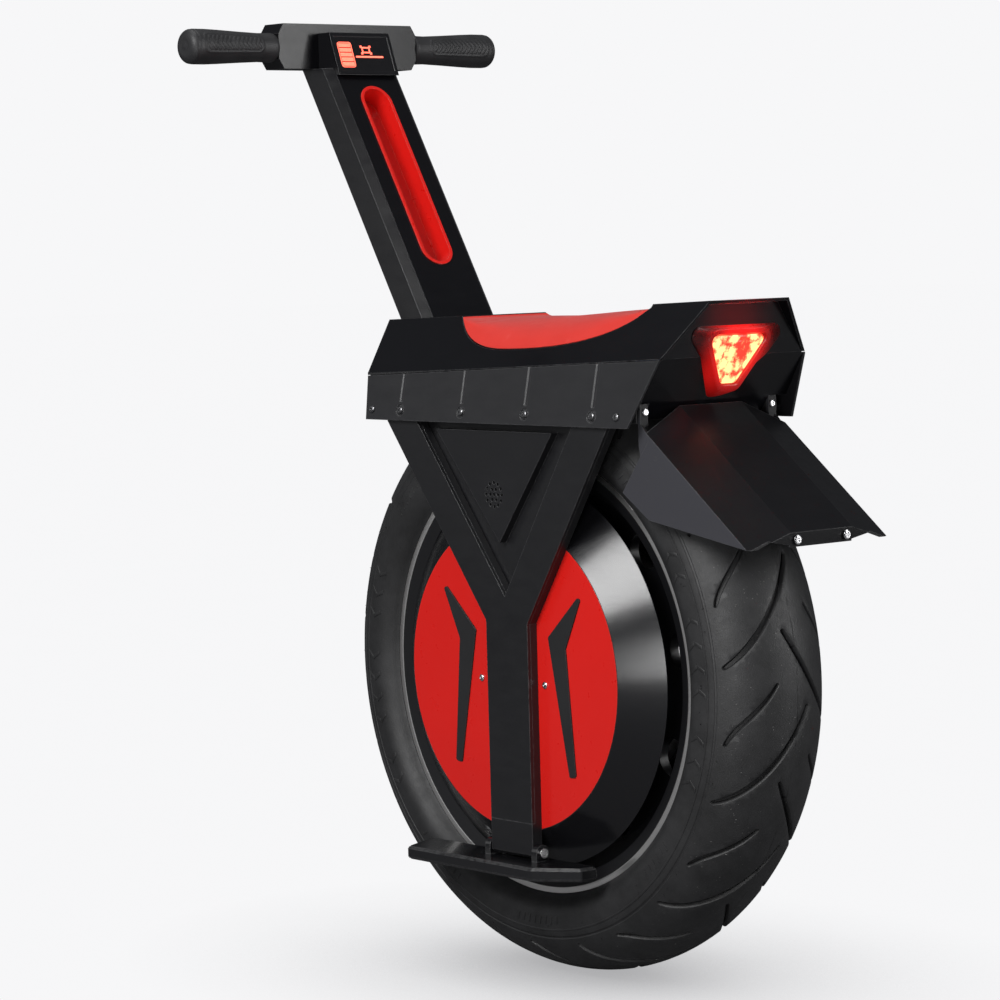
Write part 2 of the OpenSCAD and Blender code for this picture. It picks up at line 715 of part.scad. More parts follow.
module nose_panel()
    color([0.07, 0.07, 0.075])
    difference() {
        intersection() {
            across(-140, 140) polygon([
                for (p = [nose_low + [0, 9], nose_mid, nose_top]) p - [nose_recess, 0],
                for (p = [nose_top, nose_mid, nose_low + [0, 9]]) p - [nose_recess + panel_t, 0]]);
            inside_shell();
        }
        stem_block(-gap, 300, 420);
        y_rod(tyre_r + 9, -rail_in_y + 1, rail_in_y - 1);
        both_sides() block([180, rail_in_y - 1, 250], [rail_front + gap, 120, 292]);
    }
// a wide lens that stands on the nose's lower face
headlight_half_w = 42;
headlight_low = 276;
headlight_high = 304;
headlight_depth = 11;
function nose_x(z) = nose_low.x + (nose_mid.x - nose_low.x) * (z - nose_low.y) / (nose_mid.y - nose_low.y);
module headlight_lens()
    color([0.9, 0.92, 0.95, 0.6])
    across(-headlight_half_w, headlight_half_w)
    polygon([
        [nose_x(headlight_low) + 0.4, headlight_low],
        [nose_x(headlight_low) + headlight_depth, headlight_low + 3],
        [nose_x(headlight_high) + headlight_depth - 2, headlight_high - 5],
        [nose_x(headlight_high) + 0.4, headlight_high]]);

/* ---- tail light ---- */
lamp_outline = [[0, 290], [73, 358], [-73, 358]];
lamp_round = 9;
lamp_rear = -256;
lamp_front = -190;
lamp_behind = 7;
lens_inset = 11;
lens_round = 5;
module tail_light_bezel()
    color([0.06, 0.06, 0.065])
    difference() {
        intersection() {
            along(lamp_rear, lamp_front) polygon(rounded(inset(lamp_outline, gap), lamp_round));
            // follows the folded panel a little way behind it
            across(-80, 80) polygon([
                [-300, 250], for (p = [tail_low, fin_mid, tail_top]) p + [lamp_behind, 0],
                [-300, tail_top.y]]);
        }
        along(lamp_rear - 1, lamp_rear + 14)
            polygon(rounded(inset(lamp_outline, lens_inset - 0.3), lens_round));
        along(lamp_rear, lamp_front + 1) polygon(rounded(inset(lamp_outline, lens_inset + 3), 3));
    }
module tail_light_lens()
    color([0.9, 0.05, 0.03, 0.6])
    along(lamp_rear + 3, lamp_rear + 6) polygon(rounded(inset(lamp_outline, lens_inset), lens_round));
led_pitch = 9;
led_top = 340;
module tail_light_board()
    color([0.6, 0.1, 0.08])
    union() {
        along(lamp_rear + 11.5, lamp_rear + 13.5)
            polygon(rounded(inset(lamp_outline, lens_inset), lens_round));
        for (row = [0:3], i = [row - 3:3 - row])
            translate([0, i * led_pitch, led_top - row * led_pitch])
            x_rod(2.6, lamp_rear + 8, lamp_rear + 12, $fn = 24);
    }

/* ---- seat ---- */
module seat_pad()
    color([0.85, 0.12, 0.08])
    intersection() {
        across(-130, 130) polygon(concat(
            inset_ends(seat_edge(-gap)),
            [for (t = [0:0.125:1])
                bezier([seat_rear + 1, 380], [-60, 364], [60, 361], [seat_front - 1, 370.5], t)]));
        roof(0);
    }
function inset_ends(p) = [for (i = [1:len(p) - 2]) p[i]];
tray_t = 2.6;
module seat_tray()
    color([0.15, 0.15, 0.16])
    intersection() {
        across(-130, 130) polygon(concat(
            inset_ends(seat_edge(0)), [for (i = [len(seat_edge(0)) - 2:-1:1]) seat_edge(tray_t)[i]]));
        roof(shell_t + wall_clear);
        skirts(shell_t + wall_clear);
    }

/* ---- battery and controller ---- */
module battery_pack()
    color([0.15, 0.25, 0.45])
    intersection() {
        across(-85, 85) polygon([[-188, 304], [-188, 372], [-231, 374], [-229, 336], [-207, 304]]);
        roof(shell_t + 4);
        skirts(8);
    }
module controller()
    color([0.55, 0.56, 0.58])
    difference() {
        block([114, -48, deck_high], [148, 48, 364]);
        // cooling fins across the lid
        for (i = [0:7]) block([110, -45 + i * 12, 358], [160, -39 + i * 12, 366]);
    }

/* ---- mudguard ---- */
guard_t = 2;
guard_n = [-sin(guard_slope), 0, cos(guard_slope)];
shoulder_drop = 14;
module guard_channel(d)
    rotate([0, -guard_slope, 0])
    along(-600, 600)
    polygon([
        [guard_half_w - d, 0], [guard_half_w - d, guard_d - shoulder_drop - d * 0.87],
        [guard_flat - d * 0.13, guard_d - d], [-guard_flat + d * 0.13, guard_d - d],
        [-guard_half_w + d, guard_d - shoulder_drop - d * 0.87], [-guard_half_w + d, 0]]);
guard_end = [-356, 147];
module mudguard()
    color([0.1, 0.1, 0.11])
    difference() {
        intersection() {
            guard_channel(0);
            across(-120, 120) polygon([
                guard_end, [-359, 175], [-205, 330], [-204.5, 283], [-216, 249], [-177, 196.6],
                [-215, 170.7]]);
        }
        intersection() {
            guard_channel(guard_t);
            // leaves the lip that closes the rear end
            block([guard_end.x + guard_t, -120, 100], [100, 120, 400]);
        }
        // the lip's lower corners run up to the flanges
        for (s = [-1, 1])
            along(-370, guard_end.x + guard_t + 0.01)
                polygon([[s * guard_flat, 100], [s * guard_flat, 149], [s * guard_half_w, 159],
                         [s * 130, 159], [s * 130, 100]]);
        lip_screw_places() cylinder(r = 2.5 + screw_gap, h = 20, center = true, $fn = 32);
        // blind holes in the flanges, open towards the wheel
        flange_screw_places() translate([0, 0, -4.7]) cylinder(r = 2 + screw_gap, h = 20, $fn = 32);
    }
bracket_t = 3;
bracket_out_y = guard_half_w - guard_t - gap / 2;
bracket_in_y = bracket_out_y - bracket_t;
module flange_screw_places()
    both_sides()
    for (p = [[-214, 212], [-226, 232]])
        translate([p.x, bracket_in_y, p.y]) rotate([90, 0, 0]) children();
module tab_screw_places()
    both_sides() translate([rail_rear - bracket_t, 88, 277]) rotate([0, -90, 0]) children();
module mudguard_brackets()
    color([0.12, 0.12, 0.13])
    difference() {
        both_sides() {
            across(bracket_in_y, bracket_out_y)
                polygon([
                    [rail_rear - gap / 4, 285], [rail_rear - bracket_t, 285], [rail_rear - bracket_t, 265.5],
                    [-236, 232], [-228, 222], [-214, 203], [-206, 208], [rail_rear - gap / 4, 245]]);
            // the tab on the end of the chassis rail
            block([rail_rear - bracket_t, rail_in_y, 262], [rail_rear - gap / 4, bracket_out_y, 285]);
        }
        tab_screw_places() cylinder(r = 2.5 + screw_gap, h = 20, center = true, $fn = 32);
        flange_screw_places() cylinder(r = 2 + screw_gap, h = 20, center = true, $fn = 32);
    }
lip_z = 154;
module lip_screw_places()
    for (y = [-34, 34]) translate([guard_end.x, y, lip_z]) rotate([0, -90, 0]) children();
module mudguard_screws()
    color([0.8, 0.8, 0.82]) {
        tab_screw_places() translate([0, 0, gap / 4]) screw(2.5, 10, 3.9, 2, 2);
        flange_screw_places() translate([0, 0, gap / 4]) screw(2, 4.5, 3.8, 1.8, 1.6);
        lip_screw_places() translate([0, 0, 2.2]) screw(2.5, 8, 4.8, 2, 2);
    }

/* ---- stem ---- */
stem_low = deck_high + gap / 2;
box_low = 645;
function stem_section(d) = [
    [d, -stem_half_w + stem_bevel + d * 0.41], [d + 0.87 * stem_bevel, -stem_half_w + d],
    [stem_depth - 0.87 * stem_bevel, -stem_half_w + d],
    [stem_depth - d, -stem_half_w + stem_bevel + d * 0.41],
    [stem_depth - d, stem_half_w - stem_bevel - d * 0.41],
    [stem_depth - 0.87 * stem_bevel, stem_half_w - d],
    [d + 0.87 * stem_bevel, stem_half_w - d], [d, stem_half_w - stem_bevel - d * 0.41]
];
module in_stem() translate([stem_x0, 0, 0]) rotate([0, stem_lean, 0]) children();
// the stem's outside, made smaller by d and cut level at both ends
module stem_block(d, low, high)
    intersection() {
        in_stem() linear_extrude(1000) polygon(stem_section(d));
        block([-100, -150, low], [600, 150, high]);
    }
slot_start = slot_low / cos(stem_lean) + slot_r;
slot_end = slot_high / cos(stem_lean) - slot_r;
module slot_shape(r, x0, x1)
    in_stem()
    union() {
        for (z = [slot_start, slot_end]) translate([0, 0, z]) x_rod(r, x0, x1);
        block([x0, -r, slot_start], [x1, r, slot_end]);
    }
module stem()
    color([0.06, 0.06, 0.065])
    difference() {
        stem_block(0, stem_low, box_low - gap / 2);
        stem_block(stem_wall, stem_low - 1, box_low + 1);
        slot_shape(slot_r - 1.5, -5, 12);
    }
liner_depth = 26;
module stem_recess_liner()
    color([0.85, 0.1, 0.06])
    difference() {
        union() {
            slot_shape(slot_r - 1.6, -0.6, liner_depth);
            slot_shape(slot_r, -1.4, -gap / 2);
        }
        slot_shape(slot_r - 3.6, -5, liner_depth - 2.5);
    }

/* ---- handlebar ---- */
box_high = 695;
box_rear = 369;
box_front = 403;
box_half_w = 97;
box_bevel = 7;
box_section = [[box_rear, box_low], [box_front, box_low], [box_front, box_high], [box_rear, box_high]];
module box_outside(d)
    intersection() {
        across(-box_half_w + d, box_half_w - d) polygon(inset(box_section, d));
        along(300, 500) polygon(inset([
            [box_half_w - box_bevel, box_low], [box_half_w, box_low + box_bevel + 4],
            [box_half_w, box_high - box_bevel - 4], [box_half_w - box_bevel, box_high],
            [-box_half_w + box_bevel, box_high], [-box_half_w, box_high - box_bevel - 4],
            [-box_half_w, box_low + box_bevel + 4], [-box_half_w + box_bevel, box_low]], d));
    }
tube_r = 11;
module at_bar() translate([bar_x, 0, bar_z]) children();
module handlebar_box()
    color([0.06, 0.06, 0.065])
    difference() {
        box_outside(0);
        box_outside(stem_wall);
        at_bar() y_rod(tube_r + screw_gap, -120, 120);
    }
module handlebar_tube()
    color([0.6, 0.6, 0.63])
    at_bar()
    difference() {
        y_rod(tube_r, -bar_half_w + 6, bar_half_w - 6);
        y_rod(tube_r - 2.5, -bar_half_w, bar_half_w);
    }
grip_start = box_half_w + 0.5;
module grip_side()
    at_bar()
    turned() polygon([
        [tube_r + screw_gap, grip_start], [17.4, grip_start], [17.4, grip_start + 22], [19, grip_start + 30],
        [19.2, bar_half_w - 24], [17.8, bar_half_w - 20], [17.8, bar_half_w - 16], [grip_r, bar_half_w - 13],
        [grip_r, bar_half_w - 4], [grip_r - 4, bar_half_w], [0, bar_half_w], [0, bar_half_w - 5.5],
        [tube_r + screw_gap, bar_half_w - 5.5]]);
module grip_left() color([0.05, 0.05, 0.05]) grip_side();
module grip_right() color([0.05, 0.05, 0.05]) mirror([0, 1, 0]) grip_side();

/* ---- display ---- */
display_low = [332, 637];
display_high = [349, 684.5];
display_half_w = 42;
display_angle = atan((display_high.x - display_low.x) / (display_high.y - display_low.y));
module display_housing()
    color([0.05, 0.05, 0.055])
    difference() {
        across(-display_half_w, display_half_w) polygon([
            display_low, [box_rear - gap, display_low.y], [box_rear - gap, display_high.y], display_high]);
        stem_block(-gap, 600, box_low);
        // the electronics' space, closed by the handlebar box
        across(-display_half_w + 3, display_half_w - 3) polygon([
            display_low + [18, 11], [box_rear + 1, display_low.y + 11], [box_rear + 1, display_high.y - 3],
            display_high + [5, -3]]);
        // shallow window for the lights
        display_place() block([-5, -display_half_w + 4, 5], [window_depth, display_half_w - 4, 46]);
    }
module display_place()
    translate([display_low.x, 0, display_low.y]) rotate([0, display_angle, 0]) children();
window_depth = 0.8;
light_t = 0.7;
gauge_y = 25;
bar_count = 5;
module display_lights()
    color([1, 0.25, 0.15])
    display_place() translate([window_depth - light_t - 0.05, 0, 0]) {
        for (i = [0:bar_count - 1])
            block([0, gauge_y - 8, 11 + i * 5.6], [light_t, gauge_y + 8, 15.2 + i * 5.6]);
        // a plain lit line beside the gauge
        block([0, -26, 21], [light_t, 12, 22.8]);
    }

/* ---- footrests ---- */
lug_r = 8.5;
lug_w = 8;
step_inner_y = 85;
step_outer_y = 139;
step_corners = [
    [-114, step_inner_y], [143, step_inner_y], [148, step_inner_y + 12], [130, step_outer_y],
    [-70, step_outer_y], [-112, step_inner_y + 22]];
// inset and drop of the layers that round the plate's edges
step_layers = [[0, 2.5], [0.8, 1.2], [2.5, 0]];
module pedal_side()
    difference() {
        union() {
            for (layer = step_layers)
                translate([0, 0, step_top - step_t + layer[1]])
                linear_extrude(step_t - 2 * layer[1]) polygon(rounded(inset(step_corners, layer[0]), 4));
            for (x = [leg_front + 0.5, leg_rear - 0.5 - lug_w]) {
                translate([0, pin_y, pin_z]) x_rod(lug_r, x, x + lug_w);
                block([x, pin_y - lug_r, step_top - 1], [x + lug_w, pin_y + lug_r, pin_z]);
            }
        }
        translate([0, pin_y, pin_z]) x_rod(pin_r + 0.02, -100, 100);
    }
module pedal_left() color([0.04, 0.04, 0.045]) pedal_side();
module pedal_right() color([0.04, 0.04, 0.045]) mirror([0, 1, 0]) pedal_side();
module pedal_pin_side()
    translate([0, pin_y, pin_z])
    union() {
        x_rod(pin_r, leg_rear - lug_w - 1, leg_front + lug_w + 1);
        x_rod(5.2, leg_front + lug_w + 0.7, leg_front + lug_w + 3.5);
        x_rod(5.2, leg_rear - lug_w - 3.5, leg_rear - lug_w - 0.7);
    }
module pedal_pin_left() color([0.8, 0.8, 0.82]) pedal_pin_side();
module pedal_pin_right() color([0.8, 0.8, 0.82]) mirror([0, 1, 0]) pedal_pin_side();

/* ---- charge port and power button, on the right side panel ---- */
control_z = 305;
port_x = -100;
button_x = 0;
port_body_r = 11;
button_r = 8;
// places on the right side panel, with z square to it and pointing outward
module right_panel_place(x, z)
    translate([x, -skirt_half_w + skirt_lean * (z - body_low), z])
    rotate([90 - atan(skirt_lean), 0, 0]) children();
module port_place() right_panel_place(port_x, control_z) children();
module button_place() right_panel_place(button_x, control_z) children();
cap_pin_r = 1.5;
cap_pin_up = 15.5;
module cap_pin_place() port_place() translate([0, cap_pin_up, 3]) rotate([0, 90, 0]) children();
module charge_port()
    color([0.12, 0.12, 0.13])
    difference() {
        union() {
            port_place() translate([0, 0, -16]) cylinder(r = port_body_r, h = 17);
            port_place() translate([0, 0, gap / 4]) cylinder(r = port_body_r + 2, h = 1.4);
            // the ears that hold the cap's hinge pin
            for (x = [-5, 3])
                port_place() block([x, port_body_r + 1.2, gap / 4], [x + 2, cap_pin_up + 2, 4.6]);
        }
        port_place() translate([0, 0, 1.5 - port_depth]) cylinder(r = port_r, h = port_depth + 1);
        cap_pin_place() cylinder(r = cap_pin_r + 0.05, h = 20, center = true);
    }
module charge_port_cap()
    color([0.08, 0.08, 0.085])
    union() {
        port_place() translate([0, 0, 1.8]) cylinder(r = port_body_r + 1, h = 2);
        port_place() block([-2.8, port_body_r - 2, 1.8], [2.8, cap_pin_up, 3.8]);
        cap_pin_place() cylinder(r = cap_pin_r, h = 10.4, center = true);
        cap_pin_place() cylinder(r = 2, h = 5.6, center = true);
    }
module power_button()
    color([0.7, 0.7, 0.72])
    button_place()
    difference() {
        union() {
            translate([0, 0, -8]) cylinder(r = button_r, h = 8 + button_travel + 0.7);
            translate([0, 0, -9]) cylinder(r = button_r + 2, h = 2);
        }
        translate([0, 0, button_travel]) difference() {
            cylinder(r = button_r - 2, h = 3);
            translate([0, 0, -1]) cylinder(r = button_r - 3, h = 5);
        }
    }

tyre();
rim();
tyre_valve();
rotor_ring();
rotor_magnets();
motor_covers();
motor_cover_screws();
wheel_bearings();
axle();
axle_nuts();
axle_washers();
stator_core();
stator_windings();
fork_left();
fork_right();
fork_caps();
cover_mount_rings();
wheel_cover_left();
wheel_cover_right();
accent_disc_left();
accent_disc_right();
disc_inserts();
cover_screws();
speaker_panel_left();
speaker_panel_right();
speakers();
chassis_frame();
fork_bolts();
upper_shell();
side_panel_left();
side_panel_right();
side_panel_screws();
tail_panel();
nose_panel();
seat_pad();
seat_tray();
tail_light_bezel();
tail_light_lens();
tail_light_board();
headlight_lens();
mudguard();
mudguard_brackets();
mudguard_screws();
stem();
stem_recess_liner();
handlebar_box();
handlebar_tube();
grip_left();
grip_right();
display_housing();
display_lights();
battery_pack();
controller();
pedal_left();
pedal_right();
pedal_pin_left();
pedal_pin_right();
power_button();
charge_port();
charge_port_cap();
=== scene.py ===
import json
import math
import random

import bmesh
import bpy
import numpy as np
from mathutils import Matrix, Vector, geometry


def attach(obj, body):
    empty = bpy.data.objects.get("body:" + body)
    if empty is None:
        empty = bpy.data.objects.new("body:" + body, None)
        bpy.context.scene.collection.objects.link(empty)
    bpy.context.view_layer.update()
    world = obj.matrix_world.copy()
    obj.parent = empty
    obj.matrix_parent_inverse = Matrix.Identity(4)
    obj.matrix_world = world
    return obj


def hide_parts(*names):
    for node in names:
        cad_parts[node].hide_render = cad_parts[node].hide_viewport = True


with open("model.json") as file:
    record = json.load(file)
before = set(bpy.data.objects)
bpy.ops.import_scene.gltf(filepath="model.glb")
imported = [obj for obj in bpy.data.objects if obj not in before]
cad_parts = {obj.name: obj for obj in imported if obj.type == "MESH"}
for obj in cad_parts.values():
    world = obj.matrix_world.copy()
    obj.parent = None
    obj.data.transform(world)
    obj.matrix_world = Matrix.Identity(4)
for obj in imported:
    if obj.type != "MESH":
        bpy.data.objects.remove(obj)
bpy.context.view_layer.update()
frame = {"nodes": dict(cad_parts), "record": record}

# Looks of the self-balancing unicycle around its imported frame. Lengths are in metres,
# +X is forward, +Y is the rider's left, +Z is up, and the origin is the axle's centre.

NODES = frame["nodes"]
MM = 0.001
RNG = random.Random(17)


# ---------------------------------------------------------------- materials

class Look:
    """A node material, built one node at a time around a Principled shader."""

    def __init__(self, name):
        self.material = bpy.data.materials.new(name)
        self.material.use_nodes = True
        self.tree = self.material.node_tree
        self.tree.nodes.clear()
        self.out = self.node("OutputMaterial")
        self.shader = self.node("BsdfPrincipled")
        self.link(self.shader.outputs[0], self.out.inputs["Surface"])
        self.place = self.node("TexCoord").outputs["Object"]

    def node(self, kind, **settings):
        made = self.tree.nodes.new("ShaderNode" + kind)
        for key, value in settings.items():
            setattr(made, key, value)
        return made

    def link(self, source, target):
        self.tree.links.new(source, target)

    def feed(self, socket, value):
        if isinstance(value, bpy.types.NodeSocket):
            self.link(value, socket)
        elif hasattr(socket.default_value, "__len__") and len(value) == 3 and len(socket.default_value) == 4:
            socket.default_value = (*value, 1)
        else:
            socket.default_value = value

    def set(self, **values):
        for key, value in values.items():
            self.feed(self.shader.inputs[key.replace("_", " ").title().replace("Ior", "IOR")], value)
        return self

    def stretched(self, scale):
        made = self.node("Mapping")
        self.link(self.place, made.inputs["Vector"])
        made.inputs["Scale"].default_value = scale
        return made.outputs[0]

    def noise(self, scale, detail=3, rough=0.5, vector=None, warp=0):
        made = self.node("TexNoise")
        self.link(vector or self.place, made.inputs["Vector"])
        self.feed(made.inputs["Scale"], scale)
        self.feed(made.inputs["Detail"], detail)
        self.feed(made.inputs["Roughness"], rough)
        self.feed(made.inputs["Distortion"], warp)
        return made.outputs["Fac"]

    def cells(self, scale, feature="F1", vector=None):
        made = self.node("TexVoronoi", feature=feature)
        self.link(vector or self.place, made.inputs["Vector"])
        self.feed(made.inputs["Scale"], scale)
        return made.outputs["Distance"]

    def range(self, source, low, high, to_low=0.0, to_high=1.0, smooth=False):
        made = self.node("MapRange", interpolation_type="SMOOTHSTEP" if smooth else "LINEAR")
        for socket, value in zip(made.inputs, (source, low, high, to_low, to_high)):
            self.feed(socket, value)
        return made.outputs[0]

    def mix(self, factor, a, b):
        made = self.node("Mix", data_type="RGBA")
        self.feed(made.inputs["Factor"], factor)
        self.feed(made.inputs[6], a)
        self.feed(made.inputs[7], b)
        return made.outputs[2]

    def math(self, operation, a, b=0.0, c=0.0):
        made = self.node("Math", operation=operation)
        for socket, value in zip(made.inputs, (a, b, c)):
            self.feed(socket, value)
        return made.outputs[0]

    def axes(self):
        made = self.node("SeparateXYZ")
        self.link(self.place, made.inputs[0])
        return made.outputs

    def distance(self, a, b):
        """Distance from zero of a pair of values."""
        return self.math("SQRT", self.math("ADD", self.math("MULTIPLY", a, a), self.math("MULTIPLY", b, b)))

    def rounded_normal(self, radius):
        made = self.node("Bevel", samples=4)
        made.inputs["Radius"].default_value = radius
        return made.outputs[0]

    def edges(self, radius, reach=0.12):
        """How worn a point is: 1 on an edge, 0 on a flat."""
        dot = self.node("VectorMath", operation="DOT_PRODUCT")
        self.link(self.rounded_normal(radius), dot.inputs[0])
        self.link(self.node("NewGeometry").outputs["Normal"], dot.inputs[1])
        return self.range(dot.outputs["Value"], 1.0, 1.0 - reach)

    def bump(self, height, distance, strength=1.0, normal=None):
        made = self.node("Bump")
        self.feed(made.inputs["Height"], height)
        self.feed(made.inputs["Distance"], distance)
        self.feed(made.inputs["Strength"], strength)
        if normal:
            self.link(normal, made.inputs["Normal"])
        self.link(made.outputs[0], self.shader.inputs["Normal"])
        return self


def paint(name, colour, rough, peel=0.00006, coat=0.0, dust=0.12, specular=0.5, painted_side_light=None):
    """Painted or powder-coated sheet: orange peel, rubbed edges, a little dust, and, if given, a painted
    lighter colour on faces turned sideways, standing in for light falling on them.
    """
    look = Look(name)
    blotch = look.noise(9, 5, 0.6)
    smear = look.noise(26, 6, 0.65, look.stretched((1, 1, 3)))
    worn = look.math("MULTIPLY", look.edges(0.0013), look.range(look.noise(160, 4), 0.28, 0.52))
    light = [min(1, c * 2.2 + 0.11) for c in colour]
    base = look.mix(look.range(blotch, 0.3, 0.7, 0, 0.5), colour, [c * 0.72 for c in colour])
    # painted light: faces turned sideways (normal along y) take the given lighter colour
    if painted_side_light:
        facing = look.node("SeparateXYZ")
        look.link(look.node("NewGeometry").outputs["True Normal"], facing.inputs[0])
        base = look.mix(look.range(look.math("ABSOLUTE", facing.outputs[1]), 0.9, 0.96), base, painted_side_light)
    base = look.mix(look.math("MULTIPLY", worn, 0.5), base, light)
    specks = look.range(look.cells(420), 0.10, 0.03)
    specks = look.math("MULTIPLY", specks, look.range(look.noise(35, 2), 0.56, 0.7))
    base = look.mix(look.math("MULTIPLY", specks, dust), base, (0.5, 0.48, 0.45))
    look.set(base_color=base, roughness=look.range(smear, 0.25, 0.75, rough * 0.82, rough * 1.22),
             specular_ior_level=specular, coat_weight=coat, coat_roughness=0.06)
    grain = look.noise(1100, 2)
    return look.bump(grain, peel, 1.0, look.rounded_normal(0.0009)).material


def metal(name, colour, rough, brushed=(1, 1, 1)):
    """Bare or plated metal with fine tool marks and grime in patches."""
    look = Look(name)
    marks = look.noise(500, 4, 0.6, look.stretched(brushed))
    grime = look.noise(30, 5, 0.6)
    base = look.mix(look.range(grime, 0.45, 0.75, 0, 0.45), colour, [c * 0.45 for c in colour])
    look.set(base_color=base, metallic=1.0, roughness=look.range(marks, 0.2, 0.8, rough * 0.7, rough * 1.4))
    return look.bump(marks, 0.00004, 1.0, look.rounded_normal(0.0004)).material


def rim_finish(name):
    """Gloss black rim whose outermost lip is turned bare and polished."""
    look = Look(name)
    x, y, z = look.axes()
    bare = look.range(look.distance(x, z), 0.2262, 0.2265)
    turned = look.noise(900, 3, 0.6, look.stretched((1, 20, 1)))
    look.set(base_color=look.mix(bare, (0.006, 0.006, 0.007), (0.9, 0.89, 0.87)), metallic=bare,
             roughness=look.range(turned, 0.3, 0.7, 0.3, 0.4), specular_ior_level=0.5)
    return look.bump(turned, 0.00002, 1.0, look.rounded_normal(0.0006)).material


def moulded(name, colour, rough, grain=900, depth=0.00009):
    """Moulded plastic with a fine sparked texture."""
    look = Look(name)
    texture = look.noise(grain, 3, 0.6)
    base = look.mix(look.range(look.noise(14, 4), 0.3, 0.7), colour, [c * 0.75 for c in colour])
    worn = [min(1, c * 1.6 + 0.03) for c in colour]
    base = look.mix(look.math("MULTIPLY", look.edges(0.001), 0.2), base, worn)
    look.set(base_color=base, roughness=look.range(texture, 0.3, 0.7, rough * 0.85, rough * 1.15))
    return look.bump(texture, depth, 1.0, look.rounded_normal(0.0008)).material


def gloss_cover(name, colour):
    """High-gloss moulded cover with hairline swirls, and a scuff low on the left one's rim."""
    look = Look(name)
    hairs = look.noise(55, 8, 0.75, look.stretched((1, 1, 14)), 1.5)
    x, y, z = look.axes()
    away = look.distance(look.math("SUBTRACT", x, 0.058), look.math("ADD", z, 0.183))
    streaks = look.range(look.noise(120, 5, 0.7, look.stretched((1, 1, 0.3)), 1.2), 0.54, 0.60)
    scuff = look.math("MULTIPLY", look.range(away, 0.024, 0.010, smooth=True), streaks)
    scuff = look.math("MULTIPLY", scuff, look.range(y, 0.05, 0.06))
    base = look.mix(look.math("MULTIPLY", look.edges(0.001), 0.2), colour, (0.08, 0.08, 0.085))
    base = look.mix(scuff, base, (0.55, 0.55, 0.56))
    rough = look.range(hairs, 0.35, 0.8, 0.17, 0.27)
    look.set(base_color=base, roughness=look.math("ADD", rough, look.math("MULTIPLY", scuff, 0.5)),
             specular_ior_level=0.38, coat_weight=0.08, coat_roughness=0.1)
    return look.bump(look.noise(18, 2), 0.00025, 1.0, look.rounded_normal(0.0008)).material


def red_gloss(name, colour):
    """Glossy red lacquer with slight flow and depth."""
    look = Look(name)
    base = look.mix(look.range(look.noise(5, 2), 0.35, 0.7), colour, [c * 0.92 for c in colour])
    base = look.mix(look.math("MULTIPLY", look.edges(0.0012), 0.2), base, (0.9, 0.16, 0.1))
    look.set(base_color=base, roughness=look.range(look.noise(90, 5), 0.3, 0.7, 0.27, 0.33),
             coat_weight=0.25, coat_roughness=0.08, specular_ior_level=0.35)
    return look.bump(look.noise(420, 2), 0.00002, 1.0, look.rounded_normal(0.0009)).material


def seat_skin(name, colour):
    """Soft red skin: fine pebbled leather grain, faint creases and sheen."""
    look = Look(name)
    pebble = look.cells(1150, "SMOOTH_F1")
    fine = look.noise(2300, 2)
    crease = look.noise(60, 6, 0.7, look.stretched((0.5, 1, 1)), 0.8)
    cloud = look.noise(16, 4)
    deep = [colour[0] * 0.86, colour[1] * 0.8, colour[2] * 0.8]
    base = look.mix(look.range(cloud, 0.3, 0.75), colour, deep)
    base = look.mix(look.range(look.noise(45, 4), 0.62, 0.8, 0, 0.22), base, (0.85, 0.35, 0.3))
    look.set(base_color=base, roughness=look.range(crease, 0.3, 0.7, 0.42, 0.56), sheen_weight=0.12,
             sheen_roughness=0.4, specular_ior_level=0.4, subsurface_weight=0.05, subsurface_scale=0.004)
    height = look.math("ADD", look.math("MULTIPLY", pebble, 1.0),
                       look.math("ADD", look.math("MULTIPLY", fine, 0.3), look.math("MULTIPLY", crease, 1.2)))
    return look.bump(height, 0.00016, 0.8).material


def rubber(name, colour):
    """Dense grip rubber, dull with a skin of fine pores."""
    look = Look(name)
    pores = look.noise(1500, 3, 0.6)
    base = look.mix(look.range(look.noise(40, 5), 0.3, 0.75), colour, [c * 1.7 + 0.004 for c in colour])
    look.set(base_color=base, roughness=look.range(pores, 0.3, 0.7, 0.42, 0.6), specular_ior_level=0.45)
    return look.bump(pores, 0.0001).material


def tyre_rubber(name, colour):
    """Road tyre: dusty tread, mould line along the middle, dull side walls."""
    look = Look(name)
    x, y, z = look.axes()
    tread = look.range(look.distance(x, z), 0.272, 0.292)
    film = look.noise(22, 6, 0.7)
    specks = look.math("MULTIPLY", look.range(look.cells(230), 0.13, 0.05),
                       look.range(look.noise(24, 3), 0.5, 0.62))
    flecks = look.math("MULTIPLY", look.range(look.cells(95), 0.06, 0.02),
                       look.range(look.noise(11, 2), 0.5, 0.6))
    base = look.mix(look.range(film, 0.35, 0.7), colour, [c * 2.0 for c in colour])
    specks = look.math("MULTIPLY", look.math("MULTIPLY", specks, tread), 0.5)
    base = look.mix(specks, base, (0.30, 0.29, 0.28))
    base = look.mix(look.math("MULTIPLY", flecks, tread), base, (0.5, 0.49, 0.47))
    seam = look.range(look.math("ABSOLUTE", look.math("SUBTRACT", y, 0.0008)), 0.0007, 0.0003)
    seam = look.math("MULTIPLY", seam, look.range(look.noise(120, 2), 0.42, 0.56))
    base = look.mix(look.math("MULTIPLY", seam, tread), base, (0.004, 0.004, 0.004))
    scuffs = look.noise(70, 8, 0.8)
    look.set(base_color=base, roughness=look.range(scuffs, 0.3, 0.7, 0.44, 0.62), specular_ior_level=0.42)
    height = look.math("ADD", look.noise(650, 4, 0.6), look.math("MULTIPLY", scuffs, 0.8))
    height = look.math("SUBTRACT", height, seam)
    return look.bump(height, 0.00022).material


